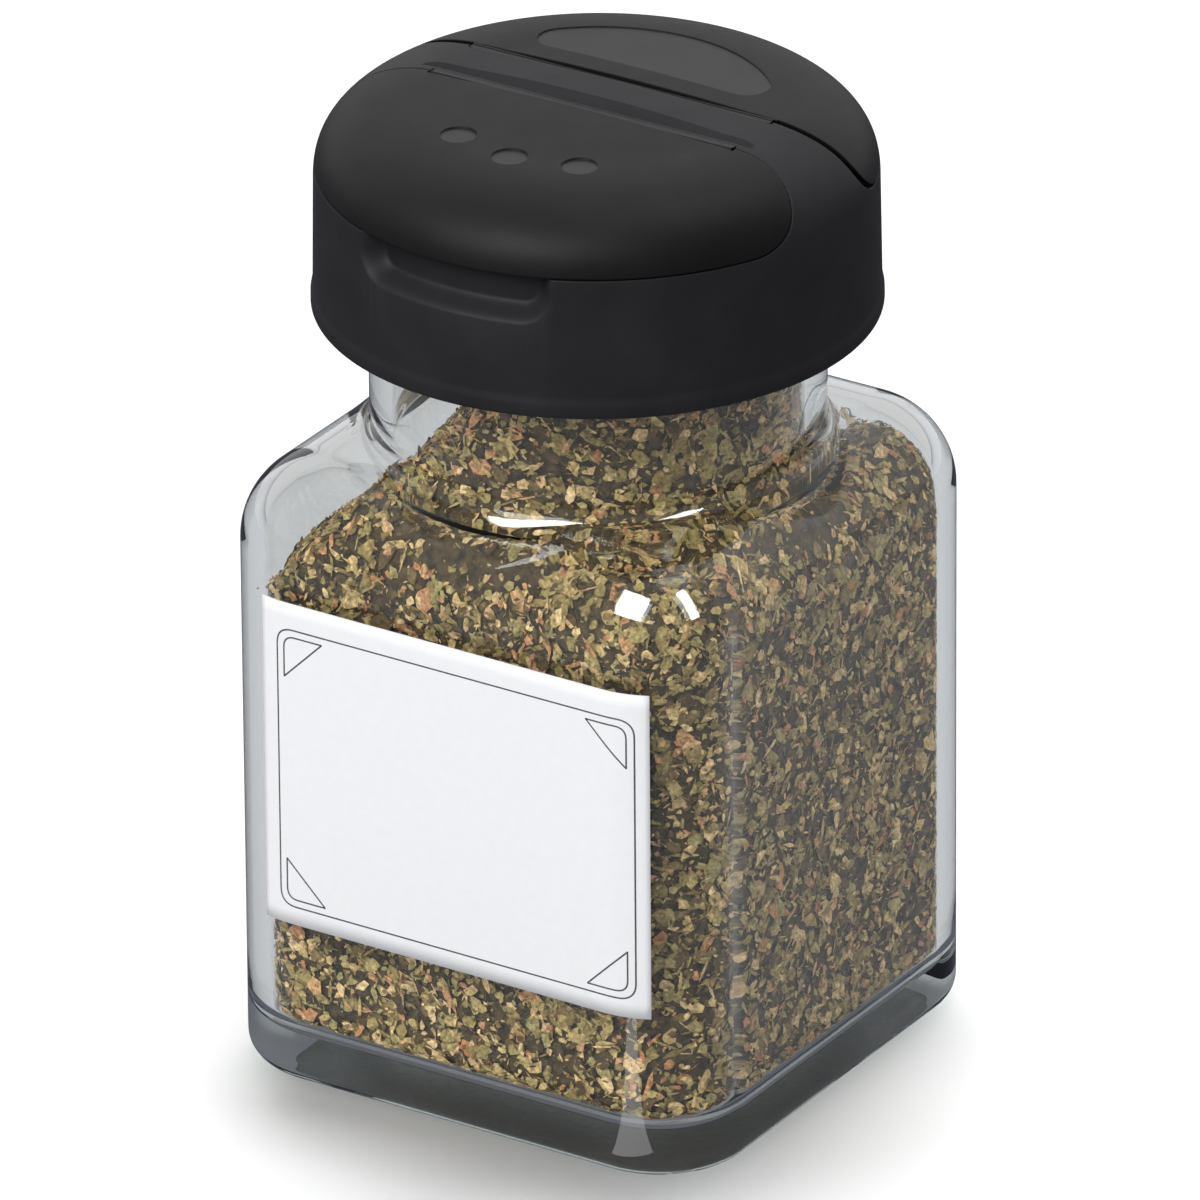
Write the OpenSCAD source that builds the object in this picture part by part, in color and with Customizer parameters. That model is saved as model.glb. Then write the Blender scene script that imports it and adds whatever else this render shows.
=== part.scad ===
// Square glass spice jar with a screw cap that has two hinged flaps.
// Units are millimetres. The origin is the centre of the base, +Z is up,
// the label faces -Y and both flap hinges run along X.

/* [Glass body] */
// Width of the square body across its flats
body_w = 50; // [48:0.5:64]
// Radius of the four upright corners
corner_r = 8.8; // [8.4:0.1:11]
// Height of the shoulder's flat top
shoulder_z = 58.2; // [56:0.1:75]
// Radius that rounds the shoulder
shoulder_r = 8.2; // [7.5:0.1:8.6]
// Radius that rounds the heel
heel_r = 2.4; // [1.5:0.1:3]
// Thickness of the glass side walls
wall_t = 2.1; // [1.6:0.1:2.8]
// Thickness of the glass base at its centre line
base_t = 4; // [3:0.1:6]
// Depth of the hollow under the base
punt_depth = 0.9; // [0.4:0.1:1.4]
// Width of the flat rim that the jar stands on
foot_w = 3.2; // [2.4:0.1:5]

/* [Glass neck] */
// Thickness of the neck's wall
neck_wall = 2; // [1.6:0.1:2.6]
// Height of the neck above the shoulder's flat top
neck_h = 21; // [20:0.5:26]
// Radius of the flare where the neck meets the shoulder
flare_r = 4.5; // [3.5:0.1:5]
// How far the thread stands out of the neck
thread_depth = 1.05; // [0.8:0.05:1.2]
// Rise of the thread in one turn
thread_pitch = 4.2; // [3.8:0.1:4.6]
// Distance from the neck's rim down to the start of the glass thread
thread_drop = 6.6; // [6:0.1:7.2]
// Turns of the thread on the glass
glass_turns = 1.1; // [0.8:0.05:1.3]
// Turns of the thread inside the cap
cap_turns = 1; // [0.8:0.05:1.1]

/* [Contents and label] */
// Gap between the dried herbs and the glass
herb_gap = 0.2; // [0.1:0.05:0.4]
// Height of the herbs in the neck above the shoulder's flat top
herb_rise = 14.8; // [10:0.1:17]
// Depth of the herbs in the slack corner below the shoulder's flat top
herb_sink = 11.7; // [8:0.1:16]
// Steepness of the slack side of the herbs
herb_slope = 45; // [35:1:50]
// Direction in which the slack side rises, turned from +X towards +Y
herb_turn = 10; // [0:1:45]
// Depth of the hollows between the lumps of the heaped herbs
herb_rough = 0.5; // [0.2:0.05:0.8]
// Distance between two lumps of the heaped herbs
herb_lump = 5.1; // [4:0.1:7]
// Width of the paper label
label_w = 39.2; // [30:0.2:42]
// Height of the paper label
label_h = 31.1; // [20:0.1:34]
// Height of the label's lower edge
label_z = 16.1; // [12:0.1:18]
// Sideways offset of the label from the middle of its face
label_x = 0.7; // [-1:0.1:1]
// Thickness of the paper
label_t = 0.1; // [0.08:0.01:0.2]

/* [Cap] */
// How far the cap's wall lies inside the body's flats
cap_inset = 0.5; // [0.3:0.05:0.8]
// Extra radius of the wall just above the lip
wall_draft = 0.15; // [0:0.05:0.3]
// How far the lip bead stands out of the wall
lip_proud = 0.2; // [0.1:0.05:0.3]
// Height of the lip bead
lip_h = 1.6; // [1:0.1:2.4]
// Depth of the cap's rim below the underside of its deck
cap_drop = 9.7; // [8.8:0.1:10.5]
// Height of the domed top above the underside of the deck
dome_rise = 9.15; // [8.9:0.05:9.6]
// Height above the deck's underside at which the wall starts to curve in
wall_rise = 1.9; // [1.5:0.1:2.2]
// Radius of the nearly flat top of the dome
top_r = 13; // [11:0.1:14]
// Squareness of the dome's shoulder, where 2 is an ellipse
dome_power = 2.54; // [2.2:0.02:2.8]
// Extra height of the crown at the middle
crown_h = 0.3; // [0.1:0.05:0.35]
// Thickness of the cap's outer wall
skirt_t = 1.2; // [1:0.1:1.4]
// Thickness of the threaded sleeve inside the wall
sleeve_t = 1; // [0.8:0.1:1.1]
// Width of the moulded gap between the wall and the sleeve
pocket_w = 1; // [0.6:0.1:1.4]
// Thickness of the deck that holds the openings
deck_t = 1.6; // [1.3:0.1:1.9]
// Thickness of the sealing liner
liner_t = 0.8; // [0.5:0.1:1.2]
// Width of the sealing liner's ring
liner_w = 3; // [2.4:0.1:3.2]

/* [Flaps] */
// Height of the seam under both flaps above the deck's underside
seam_rise = 3.2; // [3:0.1:3.6]
// Gap along the seams
seam_gap = 0.15; // [0.1:0.05:0.25]
// Wider gap beside the bridge on the pouring flap
pour_side_gap = 0.7; // [0.4:0.1:0.9]
// Thickness of the flaps' shells
flap_t = 1.3; // [1.1:0.1:1.5]
// Distance of the sifting flap's hinge in front of the cap's axis
sifter_hinge_y = 2.45; // [2.2:0.05:2.8]
// Distance of the pouring flap's hinge behind the cap's axis
pour_hinge_y = 4.3; // [4:0.05:4.6]
// Length of each hinge
hinge_w = 31; // [26:0.5:32]
// Thickness of the hinge webs
web_t = 0.3; // [0.25:0.01:0.35]
// Radius of the bead that a hinge web folds at
bead_r = 0.22; // [0.18:0.01:0.24]
// Clearance between a flap and its hinge bead
hinge_gap = 0.1; // [0.06:0.01:0.14]
// Sweep of the thumb scoop under the sifting flap, as a width
scoop_w = 20; // [16:0.5:22]
// Height of the thumb scoop
scoop_h = 4.4; // [3.6:0.1:4.6]
// Depth of the thumb scoop
scoop_depth = 1.9; // [1.4:0.1:2]

/* [Openings] */
// Number of sifting holes
sifter_count = 3; // [1:1:5]
// Radius of each sifting hole
sifter_r = 2; // [1.6:0.1:2.2]
// Radius of the arc that the sifting holes lie on
sifter_arc_r = 13.8; // [12.5:0.1:14.5]
// Angle between two neighbouring sifting holes
sifter_step = 26.5; // [22:0.5:30]
// Outer radius of the half-moon pouring opening
pour_r = 15.4; // [14.5:0.1:16]
// Distance of the pouring opening's straight edge behind the cap's axis
pour_edge_y = 7.1; // [6.6:0.1:7.6]
// How far the plugs reach into their openings
plug_reach = 1; // [0.7:0.05:1.2]
// Clearance of the plugs at the deck's top
plug_gap = 0.15; // [0.1:0.01:0.2]
// Radius of the marks on top of the sifting flap
mark_r = 1.6; // [1.2:0.1:1.8]
// Depth of the marks on top of both flaps
mark_depth = 0.15; // [0.1:0.01:0.2]

/* [Hidden] */

half_w = body_w / 2;
cap_r = half_w - cap_inset;

// The sleeve stands inside the cap's wall, and its bore clears the glass thread by
// thread_gap, which sets the neck.
thread_gap = 0.35;
sleeve_outer = cap_r - skirt_t - pocket_w;
sleeve_r = sleeve_outer - sleeve_t;
neck_r = sleeve_r - thread_gap - thread_depth;
bore_r = neck_r - neck_wall;
land_z = shoulder_z + neck_h;
ceiling_z = shoulder_z - wall_t;
lid_z = land_z + liner_t;
rim_z = lid_z - cap_drop;
deck_top_z = lid_z + deck_t;
seam_z = lid_z + seam_rise;
wall_top_z = lid_z + wall_rise;
dome_z = lid_z + dome_rise;

// Cuts run out past the shape by cut, and are as long as far where they go through.
cut = 1;
far = body_w;
sky_z = dome_z + 5 * cut;
overlap = 0.4;

// The neck's flare starts flare_rise above the shoulder and ends in a straight run.
flare_rise = 2.1;
flare_z = shoulder_z + flare_rise;
flare_run = 1.2;
herb_top_z = shoulder_z + herb_rise;
herb_low_z = shoulder_z - herb_sink;
// The heap's points lie on lines that spread from its heart, a point on the axis.
heart = [0, 0, shoulder_z / 2];

// The hinge axes lie a little below the dome's top face. Each flap's straight edge
// runs hinge_edge away from its axis, and the bridge stands bridge_edge behind it,
// which leaves room for the flap's top corner as it swings past upright.
hinge_drop = 0.2;
hinge_z = dome_z - hinge_drop;
hinge_edge = bead_r + hinge_gap;
bridge_edge = 0.65;
hinge_slot_depth = 0.9;
hinge_slot_w = 1;
hinge_slot_z = hinge_z - hinge_slot_depth;
hinge_end_gap = 0.2;
// The flaps' side edges stand ear_back and ear_drop from the hinge axis and the dome.
ear_back = 0.25;
ear_drop = 0.25;

// The bridge is hollow below its roof. Beside the sifting hinge it has a sloping
// recess behind a narrow ridge, which reaches past both ends of the hinge.
bridge_roof = 2.6;
bridge_end = 1;
ridge_w = 0.35;
recess_depth = 0.9;
recess_run = 1.35;
recess_reach = 1.7;

// A ledge of the wall carries the flaps' rims, and the wells lie inside it.
ledge_w = 2.9;
well_r = cap_r - ledge_w;
front_well_edge = 1.8;
rear_well_edge = 0.9;
scoop_r = 3;
rim_chamfer = 0.3;

// The plugs taper, so that they swing clear of the deck's edges.
plug_wall = 0.8;
plug_taper = 0.9;
peg_taper = 0.5;

// Each thread is wider at its root than at its crest.
glass_thread_z = land_z - thread_drop;
glass_root_w = 2.2;
glass_crest_w = 1.1;
cap_root_w = 1.4;
cap_crest_w = 0.7;

// Angles at which the threads start. The cap's thread lies half a pitch above the
// glass thread, and runs in its gaps.
glass_start = 5;
cap_start = -205;
// Steps in a full turn, the angle in which a thread fades in, and its blunt ends
thread_steps = 36;
thread_ramp = 25;
thread_blunt = 4;

// Sides of full circles, and steps along the smaller curves
round_fn = 96;
edge_fn = 48;
dome_steps = 14;
crown_steps = 4;
heel_steps = 5;
shoulder_steps = 9;
flare_steps = 6;
bend_steps = 8;
// Steps of the heap along a flat side, round a corner and up its wall, shoulder and
// neck, and its steps across the floor and the top
herb_flat_steps = 11;
herb_corner_steps = 7;
herb_wall_steps = 17;
herb_shoulder_steps = 6;
herb_neck_steps = 7;
herb_floor_steps = 3;
herb_top_steps = 5;

// Points of an arc, from one angle to another
function arc(centre, r, from, to, steps) =
    [for (i = [0:steps]) let (a = from + (to - from) * i / steps)
        centre + r * [cos(a), sin(a)]];

// Radius of the dome at a share of its height, where 0 is the wall's top
function dome_r(share, inset) =
    top_r - inset + (cap_r - top_r) * pow(1 - pow(share, dome_power), 1 / dome_power);

// Outline of the cap's outer face, drawn in by an inset
function cap_outline(inset, low) = concat(
    [[0, low], [cap_r + wall_draft - inset, low]],
    [for (i = [0:dome_steps]) let (s = sin(90 * i / dome_steps))
        [dome_r(s, inset), wall_top_z + (dome_z - inset - wall_top_z) * s]],
    [for (i = [1:crown_steps]) let (s = 1 - i / crown_steps)
        [(top_r - inset) * s, dome_z - inset + crown_h * (1 - s * s)]]);

// One ring of a thread, whose crest fades in and out at both ends
function thread_ring(i, count, root, depth, z0, root_w, crest_w) =
    let (turn = i * 360 / thread_steps,
         left = count * 360 / thread_steps - turn,
         fade = min(1, (min(turn, left) + thread_blunt) / thread_ramp),
         crest = root + depth * fade,
         inner = root - sign(depth) * overlap,
         z = z0 + thread_pitch * turn / 360,
         side = [[inner, -root_w / 2], [crest, -crest_w / 2],
                 [crest, crest_w / 2], [inner, root_w / 2]])
    [for (p = side) [p[0] * cos(turn), p[0] * sin(turn), z + p[1]]];

// A helical thread that stands out of a round wall, inwards where depth is negative.
// It lies at height z0 where its line passes the X axis.
module thread(root, depth, z0, start, turns, root_w, crest_w) {
    count = round(turns * thread_steps);
    low = z0 + thread_pitch * start / 360;
    points = [for (i = [0:count])
        each thread_ring(i, count, root, depth, low, root_w, crest_w)];
    flip = depth < 0;
    sides = [for (i = [0:count - 1], k = [0:3])
        let (a = i * 4 + k, b = i * 4 + (k + 1) % 4, c = b + 4, d = a + 4)
        each [[a, b, c], [a, c, d]]];
    last = count * 4;
    ends = [[0, 2, 1], [0, 3, 2],
            [last, last + 1, last + 2], [last, last + 2, last + 3]];
    faces = concat(sides, ends);
    rotate([0, 0, start])
        polyhedron(points, flip ? [for (f = faces) [f[0], f[2], f[1]]] : faces);
}

// A square with round corners
module rounded_square(half, r) {
    square([2 * half, 2 * (half - r)], center = true);
    square([2 * (half - r), 2 * half], center = true);
    for (x = [-1, 1], y = [-1, 1])
        translate([x * (half - r), y * (half - r)]) circle(r, $fn = round_fn);
}

// A block with round corners, a rounded heel and a rounded shoulder, which stays
// within the round of the corners
module soft_block(half, r, low, high, heel, shoulder) {
    top = min(shoulder, r - overlap);
    outline = concat(
        [[0, low]],
        arc([r - heel, low + heel], heel, -90, 0, heel_steps),
        arc([r - top, high - top], top, 0, 90, shoulder_steps),
        [[0, high]]);
    hull()
        for (x = [-1, 1], y = [-1, 1])
            translate([x * (half - r), y * (half - r), 0])
                rotate_extrude($fn = edge_fn) polygon(outline);
}

// The curve by which a round neck spreads into the shoulder
module flare(r, z, size, run) {
    bend = arc([r + size, z], size, 180, 225, flare_steps);
    toe = bend[flare_steps] + run * [1, -1];
    inner = r - overlap;
    rotate_extrude($fn = round_fn)
        polygon(concat([[inner, z]], bend, [toe, [inner, toe[1]]]));
}

module glass_jar() {
    color([0.82, 0.87, 0.88, 0.45]) {
        difference() {
            union() {
                soft_block(half_w, corner_r, 0, shoulder_z, heel_r, shoulder_r);
                translate([0, 0, ceiling_z - wall_t])
                    cylinder(r = neck_r, h = land_z - ceiling_z + wall_t, $fn = round_fn);
                flare(neck_r, flare_z, flare_r, flare_run);
            }
            soft_block(half_w - wall_t, corner_r - wall_t, base_t, ceiling_z,
                       heel_r, shoulder_r - wall_t);
            translate([0, 0, ceiling_z - cut])
                cylinder(r = bore_r, h = neck_h + wall_t + 2 * cut, $fn = round_fn);
            translate([0, 0, -cut])
                linear_extrude(cut + punt_depth)
                    rounded_square(half_w - heel_r - foot_w, corner_r - heel_r - foot_w / 2);
        }
        thread(neck_r, thread_depth, glass_thread_z, glass_start, glass_turns,
               glass_root_w, glass_crest_w);
    }
}

// Points round a square with round corners, drawn in by an inset
function square_ring(half, r, inset) =
    let (reach = half - r,
         side = concat(
             [for (i = [0:herb_flat_steps - 1])
                 [half - inset, reach * (2 * i / herb_flat_steps - 1)]],
             arc([reach, reach], r - inset, 0, 90, herb_corner_steps)))
    [for (turn = [0:90:270], i = [0:len(side) - 2]) let (p = side[i])
        [p[0] * cos(turn) - p[1] * sin(turn), p[0] * sin(turn) + p[1] * cos(turn)]];

// As many points round a circle, starting beside the square's first point
function round_ring(r) =
    let (count = 4 * (herb_flat_steps + herb_corner_steps),
         first = -180 * herb_flat_steps / count)
    [for (i = [0:count - 1]) let (a = first + 360 * i / count) r * [cos(a), sin(a)]];

// How far a point of the plan lies inside a square with round corners
function depth_inside(p, half, r) =
    let (x = abs(p[0]) - half + r, y = abs(p[1]) - half + r)
    r - norm([max(x, 0), max(y, 0)]) - min(max(x, y), 0);

// Height of a rounded shoulder at a depth inside its wall
function shoulder_at(depth, r, high) =
    let (d = min(max(depth, 0), r)) high - r + sqrt(r * r - (r - d) * (r - d));

// A ring of the plan at one height
function level(ring, z) = [for (p = ring) [p[0], p[1], z]];

// A ring between the wall and the neck, laid on the shoulder
function on_shoulder(wall, neck, share, half, r, top, high) =
    [for (i = [0:len(wall) - 1])
        let (p = wall[i] + share * (neck[i] - wall[i]))
        [p[0], p[1], shoulder_at(depth_inside(p, half, r), top, high)]];

// The heap's rings, from the middle of the floor to the middle of the top
function heap_rings() =
    let (inset = wall_t + herb_gap,
         half = half_w - inset,
         r = corner_r - inset,
         top = min(shoulder_r - inset, r - overlap),
         high = ceiling_z - herb_gap,
         wall = square_ring(half, r, 0),
         foot = square_ring(half, r, heel_r),
         neck = round_ring(bore_r - herb_gap),
         wall_low = base_t + heel_r,
         wall_high = high - top)
    concat(
        [for (i = [1:herb_floor_steps]) level(foot * i / herb_floor_steps, base_t)],
        [for (a = [30:30:90])
            level(square_ring(half, r, heel_r * (1 - sin(a))),
                  base_t + heel_r * (1 - cos(a)))],
        [for (i = [1:herb_wall_steps])
            level(wall, wall_low + (wall_high - wall_low) * i / herb_wall_steps)],
        [for (i = [1:herb_shoulder_steps])
            on_shoulder(wall, neck, (1 - cos(180 * i / herb_shoulder_steps)) / 2,
                        half, r, top, high)],
        [for (i = [1:herb_neck_steps])
            level(neck, high + (herb_top_z - high) * i / herb_neck_steps)],
        [for (i = [1:herb_top_steps - 1])
            level(neck * (1 - i / herb_top_steps), herb_top_z)]);

// Draws a point of the heap back along its line to the sloping slack side
function under_slack(p) =
    let (u = [cos(herb_turn), sin(herb_turn), 0],
         corner = half_w - corner_r + (corner_r - wall_t - herb_gap) / sqrt(2),
         foot = [-corner, -corner, herb_low_z],
         out = [0, 0, 1] * cos(herb_slope) - u * sin(herb_slope),
         past = (p - foot) * out)
    past > 0 ? heart + (p - heart) * ((foot - heart) * out) / ((p - heart) * out) : p;

// Share of the full hollow at a point, from waves that cross at odd angles
function hollow(p) =
    let (k = 180 / herb_lump,
         a = sin(k * (p * [1.2, 0.5, 0.7])) * sin(k * (p * [-0.4, 1.1, 0.8])),
         b = sin(k * (p * [0.6, -0.9, 1.2])))
    0.5 + 0.3 * a + 0.2 * b;

// A point of the heap, sunk between the lumps, but not where it lies on the floor
function sunk(p) =
    p[2] > base_t ? p + (heart - p) / norm(heart - p) * herb_rough * hollow(p) : p;

// The herbs fill the jar up to its neck and lie slack towards one corner. Their skin
// is lumpy, as rubbed leaves heap up.
module herb_fill() {
    rings = heap_rings();
    around = len(rings[0]);
    last = (len(rings) - 1) * around;
    skin = [for (ring = rings, p = ring) sunk(under_slack(p))];
    poles = [[0, 0, base_t], sunk(under_slack([0, 0, herb_top_z]))];
    sides = [for (row = [0:len(rings) - 2], i = [0:around - 1])
        let (a = row * around + i, b = row * around + (i + 1) % around,
             c = b + around, d = a + around)
        each [[a, c, b], [a, d, c]]];
    ends = [for (i = [0:around - 1]) let (j = (i + 1) % around)
        each [[last + around, i, j], [last + around + 1, last + j, last + i]]];
    color([0.47, 0.43, 0.28])
        polyhedron(concat(skin, poles), concat(sides, ends));
}

// The label follows the flat face and bends round the start of both corners.
module paper_label() {
    color([0.97, 0.97, 0.97])
        translate([0, 0, label_z])
            linear_extrude(label_h)
                intersection() {
                    difference() {
                        rounded_square(half_w + label_t, corner_r + label_t);
                        rounded_square(half_w, corner_r);
                    }
                    translate([label_x - label_w / 2, -half_w - cut])
                        square([label_w, corner_r]);
                }
}

module sealing_liner() {
    outer = neck_r + thread_depth - thread_gap;
    color([0.93, 0.93, 0.9])
        translate([0, 0, land_z])
            difference() {
                cylinder(r = outer, h = liner_t, $fn = round_fn);
                translate([0, 0, -cut])
                    cylinder(r = outer - liner_w, h = liner_t + 2 * cut, $fn = round_fn);
            }
}

// Side view of the space that the sifting flap takes, with a gap all round
module sifter_zone(gap) {
    lean = 49.6;
    bend_r = 6;
    top = [ear_back - sifter_hinge_y - gap, dome_z - ear_drop + gap];
    foot = top[1] - seam_z - gap;
    knee = [top[0] - foot / tan(lean), seam_z + gap];
    reach = bend_r * tan(lean / 2);
    bend = arc(knee + [-reach, bend_r], bend_r, -90, lean - 90, bend_steps);
    polygon(concat([[-far, seam_z + gap]], bend, [top, [top[0], sky_z], [-far, sky_z]]));
}

// Side view of the space that the pouring flap takes, steeper beside the bridge
module pour_zone(gap, side_gap) {
    lean = 79;
    bend_r = 4.2;
    top = [pour_hinge_y - ear_back + side_gap, dome_z - ear_drop + gap];
    foot = top[1] - seam_z - gap;
    knee = [top[0] + foot / tan(lean), seam_z + gap];
    reach = bend_r * tan(lean / 2);
    bend = arc(knee + [reach, bend_r], bend_r, 270 - lean, 270, bend_steps);
    polygon(concat([[far, sky_z], [top[0], sky_z], top], bend, [[far, seam_z + gap]]));
}

// Draws a side view, given as Y and Z, through the whole width of the cap
module across(w) {
    translate([-w / 2, 0, 0])
        rotate([90, 0, 90])
            linear_extrude(w) children();
}

// Side view of the slot that the hinge of one flap works in
module hinge_slot(side, hinge_y) {
    translate([side * hinge_y, 0])
        polygon([[-side * bridge_edge, sky_z], [-side * bridge_edge, hinge_slot_z],
                 [side * hinge_slot_w, hinge_slot_z], [side * hinge_slot_w, sky_z]]);
}

// The half-moon of the pouring opening, drawn in by an inset
module half_moon(inset) {
    intersection() {
        circle(pour_r - inset, $fn = round_fn);
        translate([-far / 2, pour_edge_y + inset]) square([far, far]);
    }
}

// Places its children at each sifting hole
module at_sifter_holes() {
    for (i = [0:sifter_count - 1])
        rotate([0, 0, -90 + (i - (sifter_count - 1) / 2) * sifter_step])
            translate([sifter_arc_r, 0, 0]) children();
}

// The wells under both flaps, whose floor is the deck
module wells() {
    intersection() {
        translate([0, 0, deck_top_z])
            cylinder(r = well_r, h = sky_z, $fn = round_fn);
        union() {
            translate([-far / 2, -far - sifter_hinge_y - front_well_edge, 0])
                cube([far, far, sky_z]);
            translate([-far / 2, pour_hinge_y + rear_well_edge, 0])
                cube([far, far, sky_z]);
        }
        across(hinge_w) square([2 * far, 2 * sky_z], center = true);
    }
}

// The pocket for a thumb nail under the front edge of the sifting flap
module thumb_scoop() {
    low = seam_z - scoop_h;
    difference() {
        translate([0, -far / 2, 0])
            rotate([90, 0, 0])
                linear_extrude(far / 2, center = true) {
                    for (x = [-1, 1])
                        translate([x * (scoop_w / 2 - scoop_r), low + scoop_r])
                            circle(scoop_r, $fn = edge_fn);
                    translate([scoop_r - scoop_w / 2, low])
                        square([scoop_w - 2 * scoop_r, scoop_h + cut]);
                    translate([-scoop_w / 2, low + scoop_r])
                        square([scoop_w, scoop_h + cut - scoop_r]);
                }
        translate([0, 0, low - cut])
            cylinder(r = cap_r - scoop_depth, h = scoop_h + 3 * cut, $fn = round_fn);
    }
}

// Wall, threaded sleeve and deck, turned about the cap's axis
module cap_shell() {
    lip_r = cap_r + wall_draft + lip_proud;
    lip_z = rim_z + lip_h;
    rotate_extrude($fn = round_fn) polygon(cap_outline(0, lip_z));
    rotate_extrude($fn = round_fn)
        polygon([[0, rim_z], [lip_r - rim_chamfer, rim_z], [lip_r, rim_z + rim_chamfer],
                 [lip_r, lip_z - lip_proud], [lip_r - lip_proud, lip_z],
                 [lip_r - skirt_t, lip_z + cut], [0, lip_z + cut]]);
}

// The space for the neck, the moulded gap between wall and sleeve, and the bridge's
// hollow between its own two walls
module cap_hollow() {
    pocket_h = seam_z - scoop_h - skirt_t - rim_z;
    bridge_wall = bridge_edge + flap_t;
    translate([0, 0, rim_z - cut]) {
        cylinder(r = sleeve_r, h = cap_drop + cut, $fn = round_fn);
        difference() {
            cylinder(r = cap_r - skirt_t, h = pocket_h + cut, $fn = round_fn);
            cylinder(r = sleeve_outer, h = pocket_h + cut, $fn = round_fn);
        }
    }
    translate([bridge_end - hinge_w / 2, bridge_wall - sifter_hinge_y, lid_z - cut])
        cube([hinge_w - 2 * bridge_end, sifter_hinge_y + pour_hinge_y - 2 * bridge_wall,
              dome_rise - bridge_roof + cut]);
}

// The sloping recess in the bridge, and the lowered ridge between it and the hinge
module bridge_recess() {
    start = bridge_edge + ridge_w - sifter_hinge_y;
    across(hinge_w + 2 * recess_reach)
        polygon([[start, sky_z], [start, dome_z - recess_depth],
                 [start + recess_run, dome_z + crown_h], [start + recess_run, sky_z]]);
    across(hinge_w)
        translate([start - cut, hinge_z + web_t / 2]) square([cut + overlap, sky_z]);
}

module cap_body() {
    color([0.14, 0.13, 0.14]) {
        difference() {
            cap_shell();
            cap_hollow();
            across(2 * far) sifter_zone(0);
            across(2 * far) pour_zone(0, 0);
            across(hinge_w) hinge_slot(-1, sifter_hinge_y);
            across(hinge_w) hinge_slot(1, pour_hinge_y);
            bridge_recess();
            wells();
            thumb_scoop();
            at_sifter_holes()
                translate([0, 0, lid_z - cut])
                    cylinder(r = sifter_r, h = deck_t + 2 * cut, $fn = edge_fn);
            translate([0, 0, lid_z - cut])
                linear_extrude(deck_t + 2 * cut) half_moon(0);
        }
        thread(sleeve_r, -thread_depth, glass_thread_z + thread_pitch / 2, cap_start,
               cap_turns, cap_root_w, cap_crest_w);
    }
}

// A thin web from the bridge to the round bead that it folds at
module hinge_web(side, hinge_y) {
    web_w = hinge_w - 2 * hinge_end_gap;
    color([0.11, 0.1, 0.11])
        translate([0, side * hinge_y, hinge_z]) {
            rotate([0, 90, 0])
                cylinder(r = bead_r, h = web_w, center = true, $fn = edge_fn);
            translate([0, -side * bridge_edge / 2, 0])
                cube([web_w, bridge_edge, web_t], center = true);
        }
}

// A domed shell with the outer face of the cap
module dome_shell() {
    rotate_extrude($fn = round_fn)
        difference() {
            polygon(cap_outline(0, seam_z - cut));
            polygon(cap_outline(flap_t, seam_z - 2 * cut));
        }
}

module sifter_flap() {
    top_z = dome_z - flap_t / 2;
    tip_z = deck_top_z - plug_reach;
    color([0.17, 0.16, 0.17])
        difference() {
            union() {
                intersection() {
                    dome_shell();
                    across(2 * far) sifter_zone(seam_gap);
                }
                at_sifter_holes()
                    translate([0, 0, tip_z]) {
                        cylinder(r1 = sifter_r - plug_gap - peg_taper,
                                 r2 = sifter_r - plug_gap, h = plug_reach, $fn = edge_fn);
                        translate([0, 0, plug_reach])
                            cylinder(r = sifter_r - plug_gap, h = top_z - deck_top_z,
                                     $fn = edge_fn);
                    }
            }
            across(hinge_w + hinge_end_gap)
                translate([-sifter_hinge_y - hinge_edge, hinge_slot_z])
                    square([sifter_hinge_y, sky_z]);
            at_sifter_holes()
                translate([0, 0, dome_z - mark_depth])
                    cylinder(r = mark_r, h = sky_z - dome_z, $fn = edge_fn);
        }
}

// The wall that closes the pouring opening, tapered where it swings past the edge
module pour_plug() {
    tip_z = deck_top_z - plug_reach;
    top_z = dome_z - flap_t / 2;
    outer = pour_r - plug_gap;
    near_y = pour_edge_y + plug_gap;
    difference() {
        intersection() {
            rotate_extrude($fn = round_fn)
                polygon([[0, tip_z], [outer - plug_taper, tip_z], [outer, deck_top_z],
                         [outer, top_z], [0, top_z]]);
            translate([-far / 2, near_y, 0]) cube([far, far, sky_z]);
        }
        translate([0, 0, tip_z - cut])
            linear_extrude(dome_z - flap_t - tip_z + cut)
                intersection() {
                    circle(outer - plug_taper - plug_wall, $fn = round_fn);
                    translate([-far / 2, near_y + plug_wall]) square([far, far]);
                }
    }
}

module pour_flap() {
    color([0.17, 0.16, 0.17])
        difference() {
            union() {
                intersection() {
                    dome_shell();
                    across(2 * far) pour_zone(seam_gap, pour_side_gap);
                }
                intersection() {
                    dome_shell();
                    across(hinge_w)
                        translate([pour_hinge_y + hinge_edge, hinge_slot_z])
                            square([pour_side_gap + cut, sky_z]);
                }
                pour_plug();
            }
            across(hinge_w + hinge_end_gap)
                translate([0, hinge_slot_z]) square([pour_hinge_y + hinge_edge, sky_z]);
            translate([0, 0, dome_z - mark_depth])
                linear_extrude(sky_z - dome_z) half_moon(0);
        }
}

glass_jar();
herb_fill();
paper_label();
sealing_liner();
cap_body();
hinge_web(-1, sifter_hinge_y);  // sifter_hinge_web
hinge_web(1, pour_hinge_y);  // pour_hinge_web
sifter_flap();
pour_flap();
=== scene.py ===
# %% [markdown]
# # A square spice jar with a flap cap
#
# The jar stands on its base at the origin, +Z up, label towards -Y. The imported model
# gives the real sizes and everything that moves. This script gives each piece its
# look: clear glass, thousands of dried leaf flakes, a paper label and matte black
# moulded plastic. Sizes are in millimetres until a mesh is made, and then in metres.

# %% Load the frame
import math

import bmesh
import bpy
import numpy as np
from mathutils import Matrix, Vector


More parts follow.
